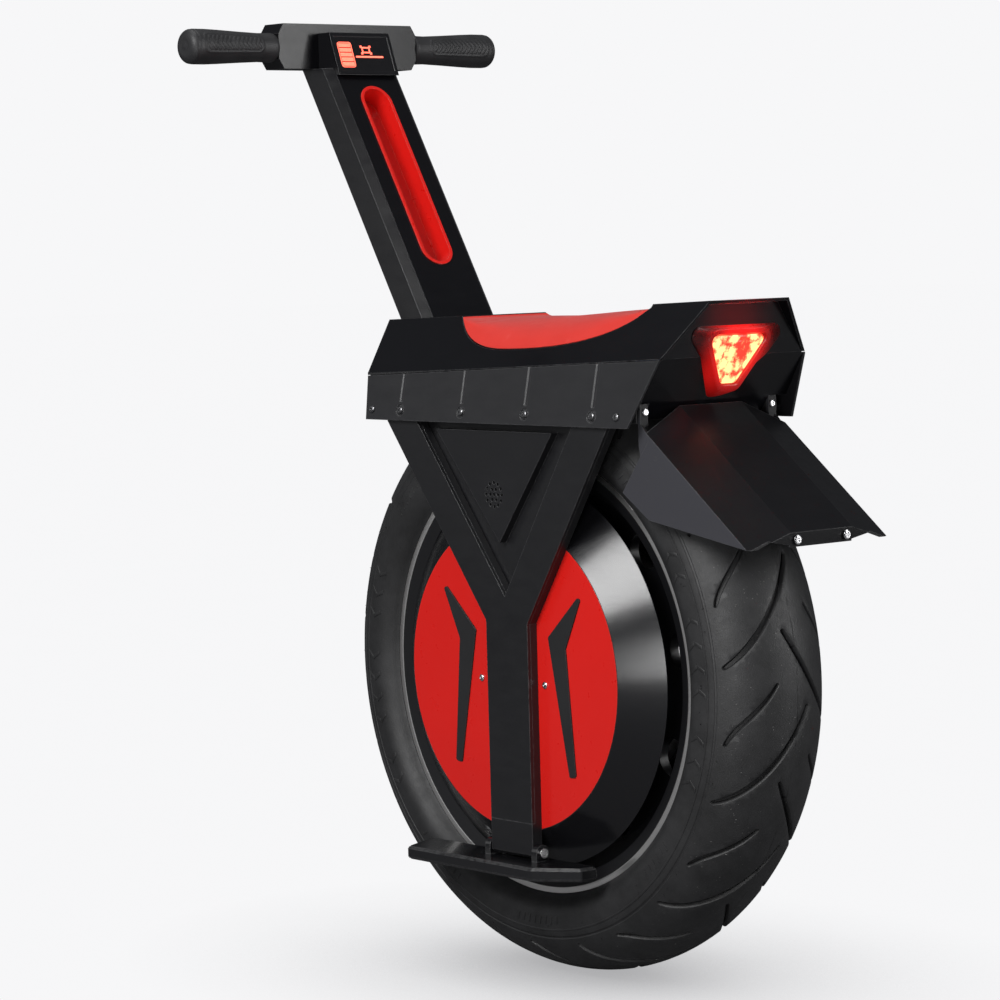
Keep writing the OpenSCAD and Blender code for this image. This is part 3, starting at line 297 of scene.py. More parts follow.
def woven_cone(name, colour):
    """Woven speaker cone."""
    look = Look(name)
    weave = look.cells(900, "F1")
    base = look.mix(look.range(weave, 0.1, 0.6), colour, [c * 0.4 for c in colour])
    look.set(base_color=base, roughness=0.8)
    return look.bump(weave, 0.0003).material


def lens(name, colour, clear):
    """Coloured clear plastic: see-through face on, shiny at a slant."""
    look = Look(name)
    through = look.node("BsdfTransparent")
    through.inputs[0].default_value = (*colour, 1)
    pick = look.node("MixShader")
    waves = look.noise(220, 2)
    look.set(base_color=colour, roughness=look.range(waves, 0.3, 0.7, 0.06, 0.14),
             specular_ior_level=0.5)
    look.bump(waves, 0.0001)
    pick.inputs[0].default_value = clear
    look.link(look.shader.outputs[0], pick.inputs[1])
    look.link(through.outputs[0], pick.inputs[2])
    look.link(pick.outputs[0], look.out.inputs["Surface"])
    return look.material


def lit_cells(name):
    """A lit red lens whose cut-glass cells burn out to pale yellow over each lamp."""
    look = Look(name)
    turned = look.node("Mapping")
    look.link(look.place, turned.inputs["Vector"])
    turned.inputs["Rotation"].default_value = (math.radians(45), 0, 0)
    shards = look.noise(260, 4, 0.7)
    cells = look.cells(82, vector=turned.outputs[0])
    spread = look.math("ADD", cells, look.range(shards, 0.3, 0.7, -0.22, 0.22))
    heat = look.range(spread, 0.74, 0.34, smooth=True)
    colour = look.mix(heat, (1.0, 0.06, 0.03), (1.0, 0.76, 0.3))
    look.set(base_color=(0.5, 0.01, 0.01), roughness=0.12, emission_color=colour,
             emission_strength=look.range(heat, 0, 1, 1.0, 1.45))
    return look.bump(shards, 0.0003).material


def bezel_with_painted_glow(name, colour):
    """Dark red surround with painted light: the lamp's red light painted on as emission, brightest near the
    lamp's middle.
    """
    look = Look(name)
    x, y, z = look.axes()
    away = look.distance(y, look.math("SUBTRACT", z, 0.333))
    # painted light from the lamp, fading with distance from its middle
    glow = look.range(away, 0.054, 0.024, 0.0, 1.0)
    glow = look.math("POWER", glow, 1.8)
    look.set(base_color=colour, roughness=look.range(look.noise(300, 3), 0.3, 0.7, 0.26, 0.34),
             emission_color=(0.85, 0.01, 0.008), emission_strength=glow)
    return look.bump(look.noise(900, 3), 0.00005, 1.0, look.rounded_normal(0.0008)).material


def lit(name, colour, strength, speckle=0.0):
    """A lit surface with a slightly uneven glow."""
    look = Look(name)
    grain = look.range(look.noise(700, 2), 0.3, 0.7, 1 - speckle, 1 + speckle)
    look.set(base_color=[c * 0.5 for c in colour], roughness=0.35, emission_color=colour,
             emission_strength=look.math("MULTIPLY", grain, strength))
    return look.material


def make_materials():
    return {
        "tyre_rubber": tyre_rubber("tyre_rubber", (0.012, 0.012, 0.0125)),
        "rim_alloy": rim_finish("rim_alloy"),
        "valve_brass": metal("valve_brass", (0.62, 0.5, 0.26), 0.35),
        "plain_steel": metal("plain_steel", (0.56, 0.56, 0.57), 0.3, (1, 12, 1)),
        "magnet_nickel": metal("magnet_nickel", (0.7, 0.69, 0.67), 0.22),
        "motor_paint": paint("motor_paint", (0.025, 0.025, 0.027), 0.5),
        "screw_steel": metal("screw_steel", (0.74, 0.74, 0.75), 0.2),
        "dark_screw": metal("dark_screw", (0.16, 0.16, 0.165), 0.32),
        "stator_iron": metal("stator_iron", (0.22, 0.22, 0.23), 0.5, (1, 30, 1)),
        "copper_wire": metal("copper_wire", (0.66, 0.3, 0.14), 0.3, (8, 1, 8)),
        "satin_black": paint("satin_black", (0.008, 0.008, 0.0092), 0.42),
        "gloss_black": gloss_cover("gloss_black", (0.006, 0.006, 0.007)),
        "accent_red": red_gloss("accent_red", (0.62, 0.011, 0.008)),
        "insert_black": moulded("insert_black", (0.016, 0.016, 0.017), 0.42),
        "speaker_cone": woven_cone("speaker_cone", (0.03, 0.03, 0.03)),
        "frame_paint": paint("frame_paint", (0.012, 0.012, 0.013), 0.5),
        "body_black": paint("body_black", (0.0035, 0.0035, 0.0045), 0.22, 0.00003, dust=0.05, specular=0.35),
        "panel_black": paint("panel_black", (0.0095, 0.0095, 0.011), 0.36),
        "seat_red": seat_skin("seat_red", (0.64, 0.032, 0.022)),
        "tray_plastic": moulded("tray_plastic", (0.02, 0.02, 0.02), 0.5),
        "bezel_black": bezel_with_painted_glow("bezel_black", (0.03, 0.003, 0.003)),
        "lens_red": lit_cells("lens_red"),
        "led_board": moulded("led_board", (0.35, 0.02, 0.015), 0.4),
        "lens_clear": lens("lens_clear", (0.92, 0.94, 0.96), 0.75),
        # the guard's flanges get a painted lighter colour, standing in for light falling on them
        "guard_black": paint("guard_black", (0.0055, 0.0055, 0.0065), 0.4, 0.00004, dust=0.06,
                             specular=0.2, painted_side_light=(0.04, 0.04, 0.046)),
        "grip_rubber": rubber("grip_rubber", (0.011, 0.011, 0.012)),
        "lit_red": lit("lit_red", (1.0, 0.13, 0.08), 2.6, 0.2),
        "battery_wrap": moulded("battery_wrap", (0.02, 0.05, 0.16), 0.3),
        "pedal_black": paint("pedal_black", (0.006, 0.006, 0.007), 0.2, 0.00004, coat=0.3),
    }


def dress_nodes(looks):
    for part in frame["record"]["subparts"]:
        node = NODES[part["node"]]
        if not node.material_slots:
            node.data.materials.append(None)
        for slot in node.material_slots:
            slot.material = looks[part["material_slot"]]


# ---------------------------------------------------------------- mesh helpers

def piece(name, verts, faces, look, body, smooth=38):
    """A new mesh piece that rides on a body and takes its finish from a slot."""
    mesh = bpy.data.meshes.new(name)
    mesh.from_pydata([tuple(v) for v in verts], [], [tuple(f) for f in faces])
    bm = bmesh.new()
    bm.from_mesh(mesh)
    bmesh.ops.remove_doubles(bm, verts=bm.verts, dist=4e-6)
    bmesh.ops.dissolve_degenerate(bm, edges=bm.edges, dist=1e-7)
    bmesh.ops.recalc_face_normals(bm, faces=bm.faces)
    bm.to_mesh(mesh)
    bm.free()
    return settle(name, mesh, look, body, smooth)


def settle(name, mesh, look, body, smooth=38):
    mesh.materials.clear()
    mesh.materials.append(look)
    mesh.polygons.foreach_set("use_smooth", [True] * len(mesh.polygons))
    mesh.set_sharp_from_angle(angle=math.radians(smooth))
    made = bpy.data.objects.new(name, mesh)
    bpy.context.scene.collection.objects.link(made)
    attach(made, body)
    return made


def bezier(points, t):
    a, b, c, d = (np.array(p, float) for p in points)
    t = np.asarray(t, float)[:, None]
    return a * (1 - t) ** 3 + 3 * b * t * (1 - t) ** 2 + 3 * c * t * t * (1 - t) + d * t ** 3


def grid_faces(rows, columns, closed_rows=False, closed_columns=False, start=0):
    faces = []
    for i in range(rows if closed_rows else rows - 1):
        for j in range(columns if closed_columns else columns - 1):
            a, b = i * columns + j, i * columns + (j + 1) % columns
            c, d = ((i + 1) % rows) * columns + (j + 1) % columns, ((i + 1) % rows) * columns + j
            faces.append((start + a, start + b, start + c, start + d))
    return faces


def join(parts):
    """Several (verts, faces) as one."""
    verts, faces = [], []
    for more, polygons in parts:
        faces += [tuple(i + len(verts) for i in f) for f in polygons]
        verts += [tuple(v) for v in more]
    return verts, faces


# ---------------------------------------------------------------- tyre

CROWN_BASE, CROWN_H, TYRE_HALF_W, CROWN_POWER = 0.257, 0.064, 0.076, 1.9
TREAD_EDGE = 0.086
REPEATS = 13
COLUMNS = REPEATS * 24
PITCH = 2 * math.pi / REPEATS
PHASE = math.radians(219.9)
TYRE_R = CROWN_BASE + CROWN_H


def crown_table():
    """Arc length, radius and y over the crown, from the right side to the left."""
    angle = np.radians(np.linspace(0, 180, 1441))
    power = 2 / CROWN_POWER
    r = CROWN_BASE + CROWN_H * np.abs(np.sin(angle)) ** power
    y = -TYRE_HALF_W * np.sign(np.cos(angle)) * np.abs(np.cos(angle)) ** power
    s = np.concatenate([[0], np.cumsum(np.hypot(np.diff(r), np.diff(y)))])
    return s - s[len(s) // 2], r, y


CROWN_S, CROWN_R, CROWN_Y = crown_table()


def crown_point(angle, s, depth=0.0):
    """A point on the tread, depth below its surface, as (x, y, z)."""
    step = 0.0008
    r, y = np.interp(s, CROWN_S, CROWN_R), np.interp(s, CROWN_S, CROWN_Y)
    slope_r = np.interp(s + step, CROWN_S, CROWN_R) - np.interp(s - step, CROWN_S, CROWN_R)
    slope_y = np.interp(s + step, CROWN_S, CROWN_Y) - np.interp(s - step, CROWN_S, CROWN_Y)
    size = np.hypot(slope_r, slope_y)
    r, y = r - depth * slope_y / size, y + depth * slope_r / size
    return np.stack([r * np.sin(angle), y * np.ones_like(angle), r * np.cos(angle)], -1)


def groove_ring(path, half, wide, steps=18):
    """The outline of a groove of that half width around its centre line, as (angle, s) rows."""
    t = np.linspace(0, 1, steps)
    line = bezier(path, t) * [MM, math.pi / 180 * TYRE_R]
    run = np.gradient(line, axis=0)
    run /= np.linalg.norm(run, axis=1)[:, None]
    side = np.stack([-run[:, 1], run[:, 0]], 1)
    grown = (half + wide * np.sin(math.pi * t) ** 0.6)[:, None]
    turn = np.radians(np.linspace(90, -90, 7))[1:-1]
    tip = [line[-1] + grown[-1] * (math.sin(a) * side[-1] + math.cos(a) * run[-1]) for a in turn]
    tail = [line[0] - grown[0] * (math.sin(a) * side[0] + math.cos(a) * run[0]) for a in turn]
    ring = np.concatenate([line + grown * side, tip, (line - grown * side)[::-1], tail])
    return np.stack([ring[:, 1] / TYRE_R, ring[:, 0]], 1)


def tread_grooves():
    """Every groove: its path, its turn about the axle, its side, half width, swelling and depth."""
    long = [(77.5, 0), (48, 3), (14, 10.5), (-13.4, 19.4)]
    short = [(76.3, 12.3), (68, 16.4), (45, 18.6), (25, 23.8)]
    for side, shift in ((1, 0.0), (-1, 0.5)):
        for k in range(REPEATS):
            turn = PHASE + (k + shift) * PITCH
            yield long, turn, side, 0.0023, 0.0012, 0.0058
            yield short, turn, side, 0.0018, 0.0011, 0.0052


def tread_mesh():
    """The grooved crown: a flat triangulation of rings, wrapped onto the tyre."""
    flat, where, edges = [], [], []
    centre = []

    def add(angle, s, depth):
        rho = TYRE_R + s
        flat.append(Vector((rho * math.cos(angle), rho * math.sin(angle))) * 1000)
        where.append((angle, s, depth))

    for path, turn, side, half, wide, deep in tread_grooves():
        for grow, depth in ((0.0006, 0.0), (0.0, 0.0005), (-0.0011, deep)):
            ring = groove_ring(path, half + grow, wide)
            first = len(flat)
            for angle, s in ring:
                add(angle + turn, side * s, depth)
            edges += [(first + i, first + (i + 1) % len(ring)) for i in range(len(ring))]
        line = bezier(path, np.linspace(0, 1, 40)) * [MM, math.pi / 180]
        centre += [((TYRE_R + side * s) * math.cos(a + turn), (TYRE_R + side * s) * math.sin(a + turn))
                   for s, a in line]
    centre = np.array(centre)
    for s in np.linspace(-TREAD_EDGE, TREAD_EDGE, 29):
        rim = abs(abs(s) - TREAD_EDGE) < 1e-9
        shift = 0.0 if rim or round(s * 1e5) % 2 else 0.5
        first = len(flat)
        for k in range(COLUMNS):
            angle = (k + shift) * 2 * math.pi / COLUMNS
            spot = np.array([math.cos(angle), math.sin(angle)]) * (TYRE_R + s)
            if rim or np.min(np.hypot(*(centre - spot).T)) > 0.0058:
                add(angle, s, 0.0)
        if rim:
            edges += [(first + i, first + (i + 1) % COLUMNS) for i in range(COLUMNS)]
    coords, _, faces, origin, _, _ = geometry.delaunay_2d_cdt(flat, edges, [], 0, 1e-6, True)
    inner = (TYRE_R - TREAD_EDGE) * 1000 * math.cos(math.pi / COLUMNS) + 1e-3
    verts = []
    for place, source in zip(coords, origin):
        if source:
            angle, s, depth = where[source[0]]
        else:
            angle, s, depth = math.atan2(place[1], place[0]), place.length / 1000 - TYRE_R, 0.0
        verts.append(crown_point(np.array(angle), s, depth))
    kept = [f for f in faces if (coords[f[0]] + coords[f[1]] + coords[f[2]]).length / 3 > inner]
    return verts, kept


def wall_line():
    """Radius and y of the left side wall, from the tread's edge to the bead, with its ribs."""
    steps = [(86, 0), (86.9, 1.0), (88.6, 1.0), (89.4, 0.3), (93, 0.2), (95.4, 0.3), (96, -0.3), (97.2, -0.3),
             (97.8, 0.3), (102, 0.3), (106, 0.2), (109, 0.1)]
    upper = [crown_point(np.array(0.0), s * MM, d * MM) for s, d in steps]
    line = [(p[2], p[1]) for p in upper]
    lower = bezier([(0.2565, 0.0762), (0.2475, 0.0765), (0.2395, 0.0705), (0.2335, 0.0612)],
                   np.linspace(0.1, 1, 10))
    line += [tuple(p) for p in lower]
    return line


def inside_line():
    """Radius and y of the bead, the foot and half of the air side."""
    foot = [(0.2326, 0.0603), (0.2325, 0.0563), (0.2184, 0.0549), (0.2173, 0.0452), (0.2323, 0.0515)]
    angle = np.radians(np.linspace(0, 90, 10))
    power = 2 / CROWN_POWER
    air = [(CROWN_BASE + (CROWN_H - 0.009) * math.sin(a) ** power,
            (TYRE_HALF_W - 0.009) * max(0.0, math.cos(a)) ** power) for a in angle]
    return foot + air


def revolve(line, columns):
    angles = np.arange(columns) * 2 * math.pi / columns
    verts = [(r * math.sin(a), y, r * math.cos(a)) for r, y in line for a in angles]
    return verts, grid_faces(len(line), columns, closed_columns=True)


def raised_mark(corners, lift, line, side):
    """A raised block on a side wall; corners are (angle, distance along the wall) pairs."""
    lengths = np.concatenate([[0], np.cumsum(np.hypot(*np.diff(line, axis=0).T))])

    def spot(angle, run, up):
        r, y = np.interp(run, lengths, line[:, 0]), np.interp(run, lengths, line[:, 1])
        r2, y2 = np.interp(run + 5e-4, lengths, line[:, 0]), np.interp(run + 5e-4, lengths, line[:, 1])
        out = np.array([y2 - y, r - r2])
        out /= np.linalg.norm(out)
        out = out if out[1] > 0 else -out
        r, y = r + out[0] * up, y + out[1] * up
        return (r * math.sin(angle), side * y, r * math.cos(angle))

    cuts = 4
    corners = np.array(corners)
    middle = corners.mean(axis=0)
    verts = []
    for up, shrink in ((-0.0008, 1.0), (lift * 0.6, 1.0), (lift, 0.86)):
        for start, end in zip(corners, np.roll(corners, -1, axis=0)):
            for k in range(cuts):
                at = middle + (start + (end - start) * k / cuts - middle) * shrink
                verts.append(spot(at[0], at[1], up))
    count = 4 * cuts
    faces = grid_faces(3, count, closed_columns=True)
    faces.append(tuple(range(2 * count, 3 * count)))
    faces.append(tuple(reversed(range(count))))
    return verts, faces


def wall_marks(side):
    """Plain raised bars and chevrons in groups round the side wall."""
    line = np.array(wall_line())
    parts = []

    def bar(angle, low, high, width, lean):
        half = width / 2 / CROWN_BASE
        tip = lean / CROWN_BASE
        parts.append(raised_mark([(angle - half, low), (angle + half, low), (angle + half + tip, high),
                                  (angle - half + tip, high)], 0.0007, line, side))

    for centre in (95, 275):
        for k in range(11):
            if k in (3, 8):
                continue
            angle = math.radians(centre + (k - 5) * 5.2)
            bar(angle - 0.008, 0.0135, 0.0225, 0.0045, 0.006)
            bar(angle - 0.008 + 0.0236, 0.0228, 0.0318, 0.0045, -0.006)
    for centre, count in ((48, 6), (145, 9), (182, 8), (228, 6), (325, 9), (2, 8)):
        for k in range(count):
            angle = math.radians(centre + (k - count / 2) * 1.9)
            bar(angle, 0.018, 0.0265, 0.0022, 0.0025)
    return join(parts)


def vent_nibs():
    """Short moulding hairs left on the tread's shoulders and side walls."""
    parts = []
    for k in range(150):
        angle = RNG.uniform(0, 2 * math.pi)
        side = RNG.choice((-1, 1))
        s = side * RNG.choice((RNG.uniform(0.079, 0.084), RNG.uniform(0.089, 0.094), RNG.uniform(0.1, 0.107)))
        base = crown_point(np.array(angle), s, 0.0006)
        out = crown_point(np.array(angle), s, -0.001) - base
        out /= np.linalg.norm(out)
        lean = np.array([RNG.uniform(-0.5, 0.5) for _ in range(3)])
        tip = base + (out + lean * 0.5) * RNG.uniform(0.0012, 0.003)
        u = np.cross(out, (0.3, 0.5, 0.81))
        u /= np.linalg.norm(u)
        v = np.cross(out, u)
        ring = [base + 0.00045 * (math.cos(a) * u + math.sin(a) * v) for a in np.arange(5) * 2 * math.pi / 5]
        top = [tip + 0.00028 * (math.cos(a) * u + math.sin(a) * v) for a in np.arange(5) * 2 * math.pi / 5]
        faces = grid_faces(2, 5, closed_columns=True) + [(0, 1, 2, 3, 4), (9, 8, 7, 6, 5)]
        parts.append((ring + top, faces))
    return join(parts)


def make_tyre(looks):
    left = wall_line()
    half = left + inside_line()
    right = [(r, -y) for r, y in half]
    shell = [revolve(half, COLUMNS), revolve(right, COLUMNS)]
    verts, faces = join([tread_mesh()] + shell)
    carcass = piece("tyre_carcass", verts, faces, looks["tyre_rubber"], "wheel", 42)
    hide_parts("tyre")
    for side, name in ((1, "left"), (-1, "right")):
        verts, faces = wall_marks(side)
        piece("tyre_wall_marks_" + name, verts, faces, looks["tyre_rubber"], "wheel", 60)
    verts, faces = vent_nibs()
    piece("tyre_vent_nibs", verts, faces, looks["tyre_rubber"], "wheel", 60)


# ---------------------------------------------------------------- saddle

def applied_mesh(thing):
    """The thing's mesh with its modifiers applied."""
    graph = bpy.context.evaluated_depsgraph_get()
    graph.update()
    return bpy.data.meshes.new_from_object(thing.evaluated_get(graph))


def curve_height(x, *curves):
    """Height over x of a line made of bezier pieces."""
    line = np.concatenate([bezier(points, np.linspace(0, 1, 40)) for points in curves])
    line = line[np.argsort(line[:, 0])]
    return float(np.interp(x, line[:, 0], line[:, 1]))


def saddle_section(x):
    """The saddle's outline across the vehicle at x, as (y, z) rows, and how freely each row moves."""
    low = 0.0004 + curve_height(
        x, [(0.111, 0.371), (0.085, 0.346), (0.055, 0.3375), (0.015, 0.337)],
        [(0.015, 0.337), (-0.060, 0.3375), (-0.150, 0.344), (-0.183, 0.3795)])
    high = curve_height(x, [(-0.182, 0.380), (-0.060, 0.364), (0.060, 0.361), (0.110, 0.3705)])
    high = max(high - 0.0015, low + 0.0006)
    slope = math.radians(50.3)

    def half_width(z):
        return (0.2834 - x * 0.0178 - z * math.cos(slope)) / math.sin(slope)

    flank = np.linspace(0, 1, 15)[:, None]
    foot, brow = np.array([half_width(low), low]), np.array([half_width(high), high])
    side = foot + (brow - foot) * flank
    across = np.linspace(1, -1, 25)[1:-1, None] * [brow[0], 0] + [0, high]
    path = np.concatenate([side, across, (side * [-1, 1])[::-1]])
    for _ in range(10):
        path[1:-1] = (path[:-2] + 2 * path[1:-1] + path[2:]) / 4
    under = np.linspace(-1, 1, 22)[1:-1, None] * [foot[0], 0] + [0, low]
    rise = np.clip((path[:, 1] - low - 0.001) / 0.014, 0, 1)
    return np.concatenate([path, under]), np.concatenate([rise, np.zeros(len(under))])


def blow_up(pad, free, cap):
    """Inflate the pad as cloth; each vertex moves at most cap times its freedom."""
    held = pad.vertex_groups.new(name="held")
    for index, value in enumerate(free):
        held.add([index], float(1 - value), "REPLACE")
    cloth = pad.modifiers.new("cloth", "CLOTH")
    cloth.settings.use_pressure = True
    cloth.settings.uniform_pressure_force = 4
    cloth.settings.vertex_group_mass = "held"
    cloth.settings.effector_weights.gravity = 0
    for step in range(1, 21):
        bpy.context.scene.frame_set(step)
    rest, blown = np.empty(len(free) * 3), np.empty(len(free) * 3)
    pad.data.vertices.foreach_get("co", rest)
    pad.evaluated_get(bpy.context.evaluated_depsgraph_get()).data.vertices.foreach_get("co", blown)
    move = (blown - rest).reshape(-1, 3)
    far = np.linalg.norm(move, axis=1)
    move *= (np.minimum(far, cap * free) / np.maximum(far, 1e-9))[:, None]
    pad.modifiers.clear()
    pad.vertex_groups.clear()
    bpy.context.scene.frame_set(1)
    pad.data.vertices.foreach_set("co", rest + move.ravel())


def make_cushion(looks):
    """The crowned saddle cushion, blown up as cloth from a skin held along its lower edge."""
    places = -0.036 + 0.145 * np.sin(np.linspace(-math.pi / 2, math.pi / 2, 96))
    rows, free = zip(*(saddle_section(x) for x in places))
    count = len(rows[0])
    faces = grid_faces(len(rows), count, closed_columns=True)
    faces += [tuple(range(count)), tuple(reversed(range((len(rows) - 1) * count, len(rows) * count)))]
    mesh = bpy.data.meshes.new("saddle_cushion")
    mesh.from_pydata([(x, y, z) for x, row in zip(places, rows) for y, z in row], [], faces)
    bm = bmesh.new()
    bm.from_mesh(mesh)
    bmesh.ops.recalc_face_normals(bm, faces=bm.faces)
    bm.to_mesh(mesh)
    bm.free()
    pad = bpy.data.objects.new("saddle_cushion", mesh)
    bpy.context.scene.collection.objects.link(pad)
    blow_up(pad, np.concatenate(free), 0.005)
    finer = pad.modifiers.new("finer", "SUBSURF")
    finer.levels = finer.render_levels = 1
    mesh = applied_mesh(pad)
    bpy.data.objects.remove(pad)
    cushion = settle("saddle_cushion", mesh, looks["seat_red"], "chassis", 60)
    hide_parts("seat_pad")


# ---------------------------------------------------------------- handlebar grips

GRIP_START, GRIP_END, BAR_X, BAR_Z = 0.0975, 0.215, 0.382, 0.6685
GRIP_SHOULDER, GRIP_ROUND = 0.1085, 0.009


def step_up(value, low, high):
    t = np.clip((value - low) / (high - low), 0, 1)
    return t * t * (3 - 2 * t)


def grip_radius(out, around):
    """Radius of the grip over its length and turn: a waist, a swollen end and a framed palm panel."""
    body = np.interp(out, [0, 0.003, 0.02, 0.045, 0.075, 0.092, GRIP_SHOULDER],
                     np.array([15.6, 16.4, 15.9, 17.0, 18.6, 19.3, 19.3]) * MM)
    round_end = np.sqrt(np.maximum(GRIP_ROUND ** 2 - (out - GRIP_SHOULDER) ** 2, 0))
    body = np.where(out > GRIP_SHOULDER, 0.0103 + round_end, body)
    # the palm panel faces the rider and a little up
    arc = np.angle(np.exp(1j * (around - math.radians(283)))) * 0.018
    dx, dy = np.abs(out - 0.062) - 0.033, np.abs(arc) - 0.0035
    edge = np.hypot(np.maximum(dx, 0), np.maximum(dy, 0)) - 0.007 + np.minimum(np.maximum(dx, dy), 0)
    frame_rise = np.exp(-(edge / 0.0011) ** 2) * 0.0006
    rib = ((out - 0.030) / 0.0058 + np.abs(arc) / 0.008) % 1
    ribs = step_up(np.abs(rib - 0.5), 0.16, 0.24) * (1 - step_up(edge, -0.0032, -0.0022)) * 0.0005
    end_line = np.exp(-((out - 0.1095) / 0.0009) ** 2) * -0.0005
    return np.minimum(body + frame_rise + ribs + end_line, 0.0197)


def make_grips(looks):
    end = GRIP_SHOULDER + GRIP_ROUND * np.sin(np.radians(np.linspace(6, 90, 14)))
    out = np.concatenate([np.linspace(0, GRIP_SHOULDER, 150), end])
    turn = np.linspace(0, 2 * math.pi, 144, endpoint=False)
    along, around = np.meshgrid(out, turn, indexing="ij")
    length = GRIP_END - GRIP_START
    # the outside, then the dished end cap with its small nipple, then the bore over the tube
    level = np.ones_like(turn)
    rings = [(r * level, y * level) for r, y in zip(grip_radius(along, around), out)]
    rings += [(r * level, (length + y) * level)
              for r, y in ((0.0088, 0.0001), (0.0072, -0.0003), (0.0035, -0.0001), (0.0018, 0.0005))]
    outer = len(rings)
    rings += [(0.0111 * level, y * level) for y in (length - 0.0056, 0)]
    count = len(turn)
    faces = grid_faces(outer, count, closed_columns=True)
    faces.append(tuple(range((outer - 1) * count, outer * count)))
    faces += grid_faces(2, count, closed_columns=True, start=outer * count)
    faces.append(tuple(range(outer * count, (outer + 1) * count)))
    bore = (outer + 1) * count
    faces += [(k, (k + 1) % count, bore + (k + 1) % count, bore + k) for k in range(count)]
    for side, name in ((1, "left"), (-1, "right")):
        verts = np.concatenate([
            np.stack([BAR_X + r * np.sin(turn), side * (GRIP_START + y), BAR_Z + r * np.cos(turn)], -1)
            for r, y in rings])
        grip = piece("grip_cover_" + name, verts, faces, looks["grip_rubber"], "chassis", 50)
        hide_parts("grip_" + name)


# ---------------------------------------------------------------- tail light

def outline(half_top, top, half_low, low, radius, arc=7, straight=7):
    """A four-sided outline with rounded corners, as (y, z) rows, always the same number of points."""
    corners = np.array([(half_top, top), (-half_top, top), (-half_low, low), (half_low, low)], float)
    arcs = []
    for i in range(4):
        here, before, after = corners[i], corners[i - 1], corners[(i + 1) % 4]
        a, b = before - here, after - here
        a, b = a / np.linalg.norm(a), b / np.linalg.norm(b)
        half = math.acos(float(np.clip(a @ b, -1, 1))) / 2
        start, end = here + a * radius / math.tan(half), here + b * radius / math.tan(half)
        centre = here + (a + b) / np.linalg.norm(a + b) * radius / math.sin(half)
        p, q = start - centre, end - centre
        sign = math.copysign(1, p[0] * q[1] - p[1] * q[0])
        turns = sign * (math.pi - 2 * half) * np.arange(arc) / (arc - 1)
        c, s = np.cos(turns), np.sin(turns)
        arcs.append(list(centre + np.stack([p[0] * c - p[1] * s, p[0] * s + p[1] * c], -1)))
    rows = []
    for here, following in zip(arcs, arcs[1:] + arcs[:1]):
        side = following[0] - here[-1]
        rows += here + [here[-1] + side * j / straight for j in range(1, straight)]
    return np.array(rows)


def panel_x(z):
    """X of the folded plate between the fins."""
    return np.interp(z, [0.267, 0.330, 0.386], [-0.190, -0.240, -0.251])


def lamp_x(z):
    """X of the lamp's front face, which leans back at the top."""
    return -0.230 - (z - 0.294) * 0.375


def lens_rim():
    return outline(0.0400, 0.3505, 0.0100, 0.3020, 0.006)


def make_surround(looks):
    """The lamp's surround: from the folded plate out to its leaning face, and in to the lens."""
    steps = [
        (outline(0.073, 0.3605, 0.007, 0.2880, 0.010), lambda z: panel_x(z) + 0.004),
        (outline(0.073, 0.3605, 0.007, 0.2880, 0.010), lambda z: panel_x(z) - 0.0008),
        (outline(0.070, 0.3590, 0.0065, 0.2895, 0.009),
         lambda z: np.minimum(panel_x(z) - 0.0020, lamp_x(z) + 0.012)),
        (outline(0.0535, 0.3575, 0.0140, 0.2935, 0.0125), lambda z: lamp_x(z) + 0.0010),
        (outline(0.0520, 0.3565, 0.0130, 0.2945, 0.0115), lambda z: lamp_x(z)),
        (outline(0.0425, 0.3520, 0.0120, 0.2995, 0.007), lambda z: lamp_x(z)),
        (outline(0.0415, 0.3515, 0.0110, 0.3005, 0.0065), lambda z: lamp_x(z) + 0.0008),
        (lens_rim(), lambda z: lamp_x(z) + 0.0050)]
    verts = [(x(z), y, z) for ring, x in steps for y, z in ring]
    faces = grid_faces(len(steps), len(steps[0][0]), closed_columns=True)
    surround = piece("tail_light_surround", verts, faces, looks["bezel_black"], "chassis", 35)
    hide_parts("tail_light_bezel")


def make_cut_glass(looks):
    """The lens, quilted with a diamond pattern of small pillows."""
    rim = lens_rim()
    middle = np.array([0.0, 0.331])
    verts = []
    rings = 26
    for k in range(rings):
        for y, z in middle + (rim - middle) * (1 - k / rings):
            u, v = (y + z) / 0.0122, (y - z) / 0.0122
            pillow = abs(math.sin(math.pi * u) * math.sin(math.pi * v)) ** 0.5 * 0.0012
            verts.append((lamp_x(z) + 0.0028 - pillow * min(1.0, k / 3), y, z))
    verts.append((lamp_x(middle[1]) + 0.0020, *middle))
    count = len(rim)
    faces = grid_faces(rings, count, closed_columns=True)
    last = (rings - 1) * count
    faces += [(last + k, last + (k + 1) % count, rings * count) for k in range(count)]
    glass = piece("tail_light_cut_glass", verts, faces, looks["lens_red"], "chassis", 25)
    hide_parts("tail_light_lens")


def make_lamps(looks):
    """The lamp board behind the lens, with rows of domed lamps."""
    rim = outline(0.0395, 0.3500, 0.0095, 0.3025, 0.006)
    count = len(rim)
    plate = [(lamp_x(z) + back, y, z) for back in (0.0062, 0.0078) for y, z in rim]
    parts = [(plate, grid_faces(2, count, closed_columns=True)
              + [tuple(range(count)), tuple(reversed(range(count, 2 * count)))])]
    turn = np.arange(12) * math.pi / 6
    for row in range(4):
        for k in range(row - 3, 4 - row):
            y, z = k * 0.009, 0.343 - row * 0.0105
            dome = [(lamp_x(z) + 0.0064 - 0.002 * math.sin(a), y + 0.0024 * math.cos(a) * math.cos(t),
                     z + 0.0024 * math.cos(a) * math.sin(t)) for a in (0, 0.5, 1.0, 1.4) for t in turn]
            ends = [tuple(range(36, 48)), tuple(range(12))]
            parts.append((dome, grid_faces(4, 12, closed_columns=True) + ends))
    verts, faces = join(parts)
    board = piece("tail_light_lamps", verts, faces, looks["led_board"], "chassis", 40)
    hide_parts("tail_light_board")


# ---------------------------------------------------------------- display

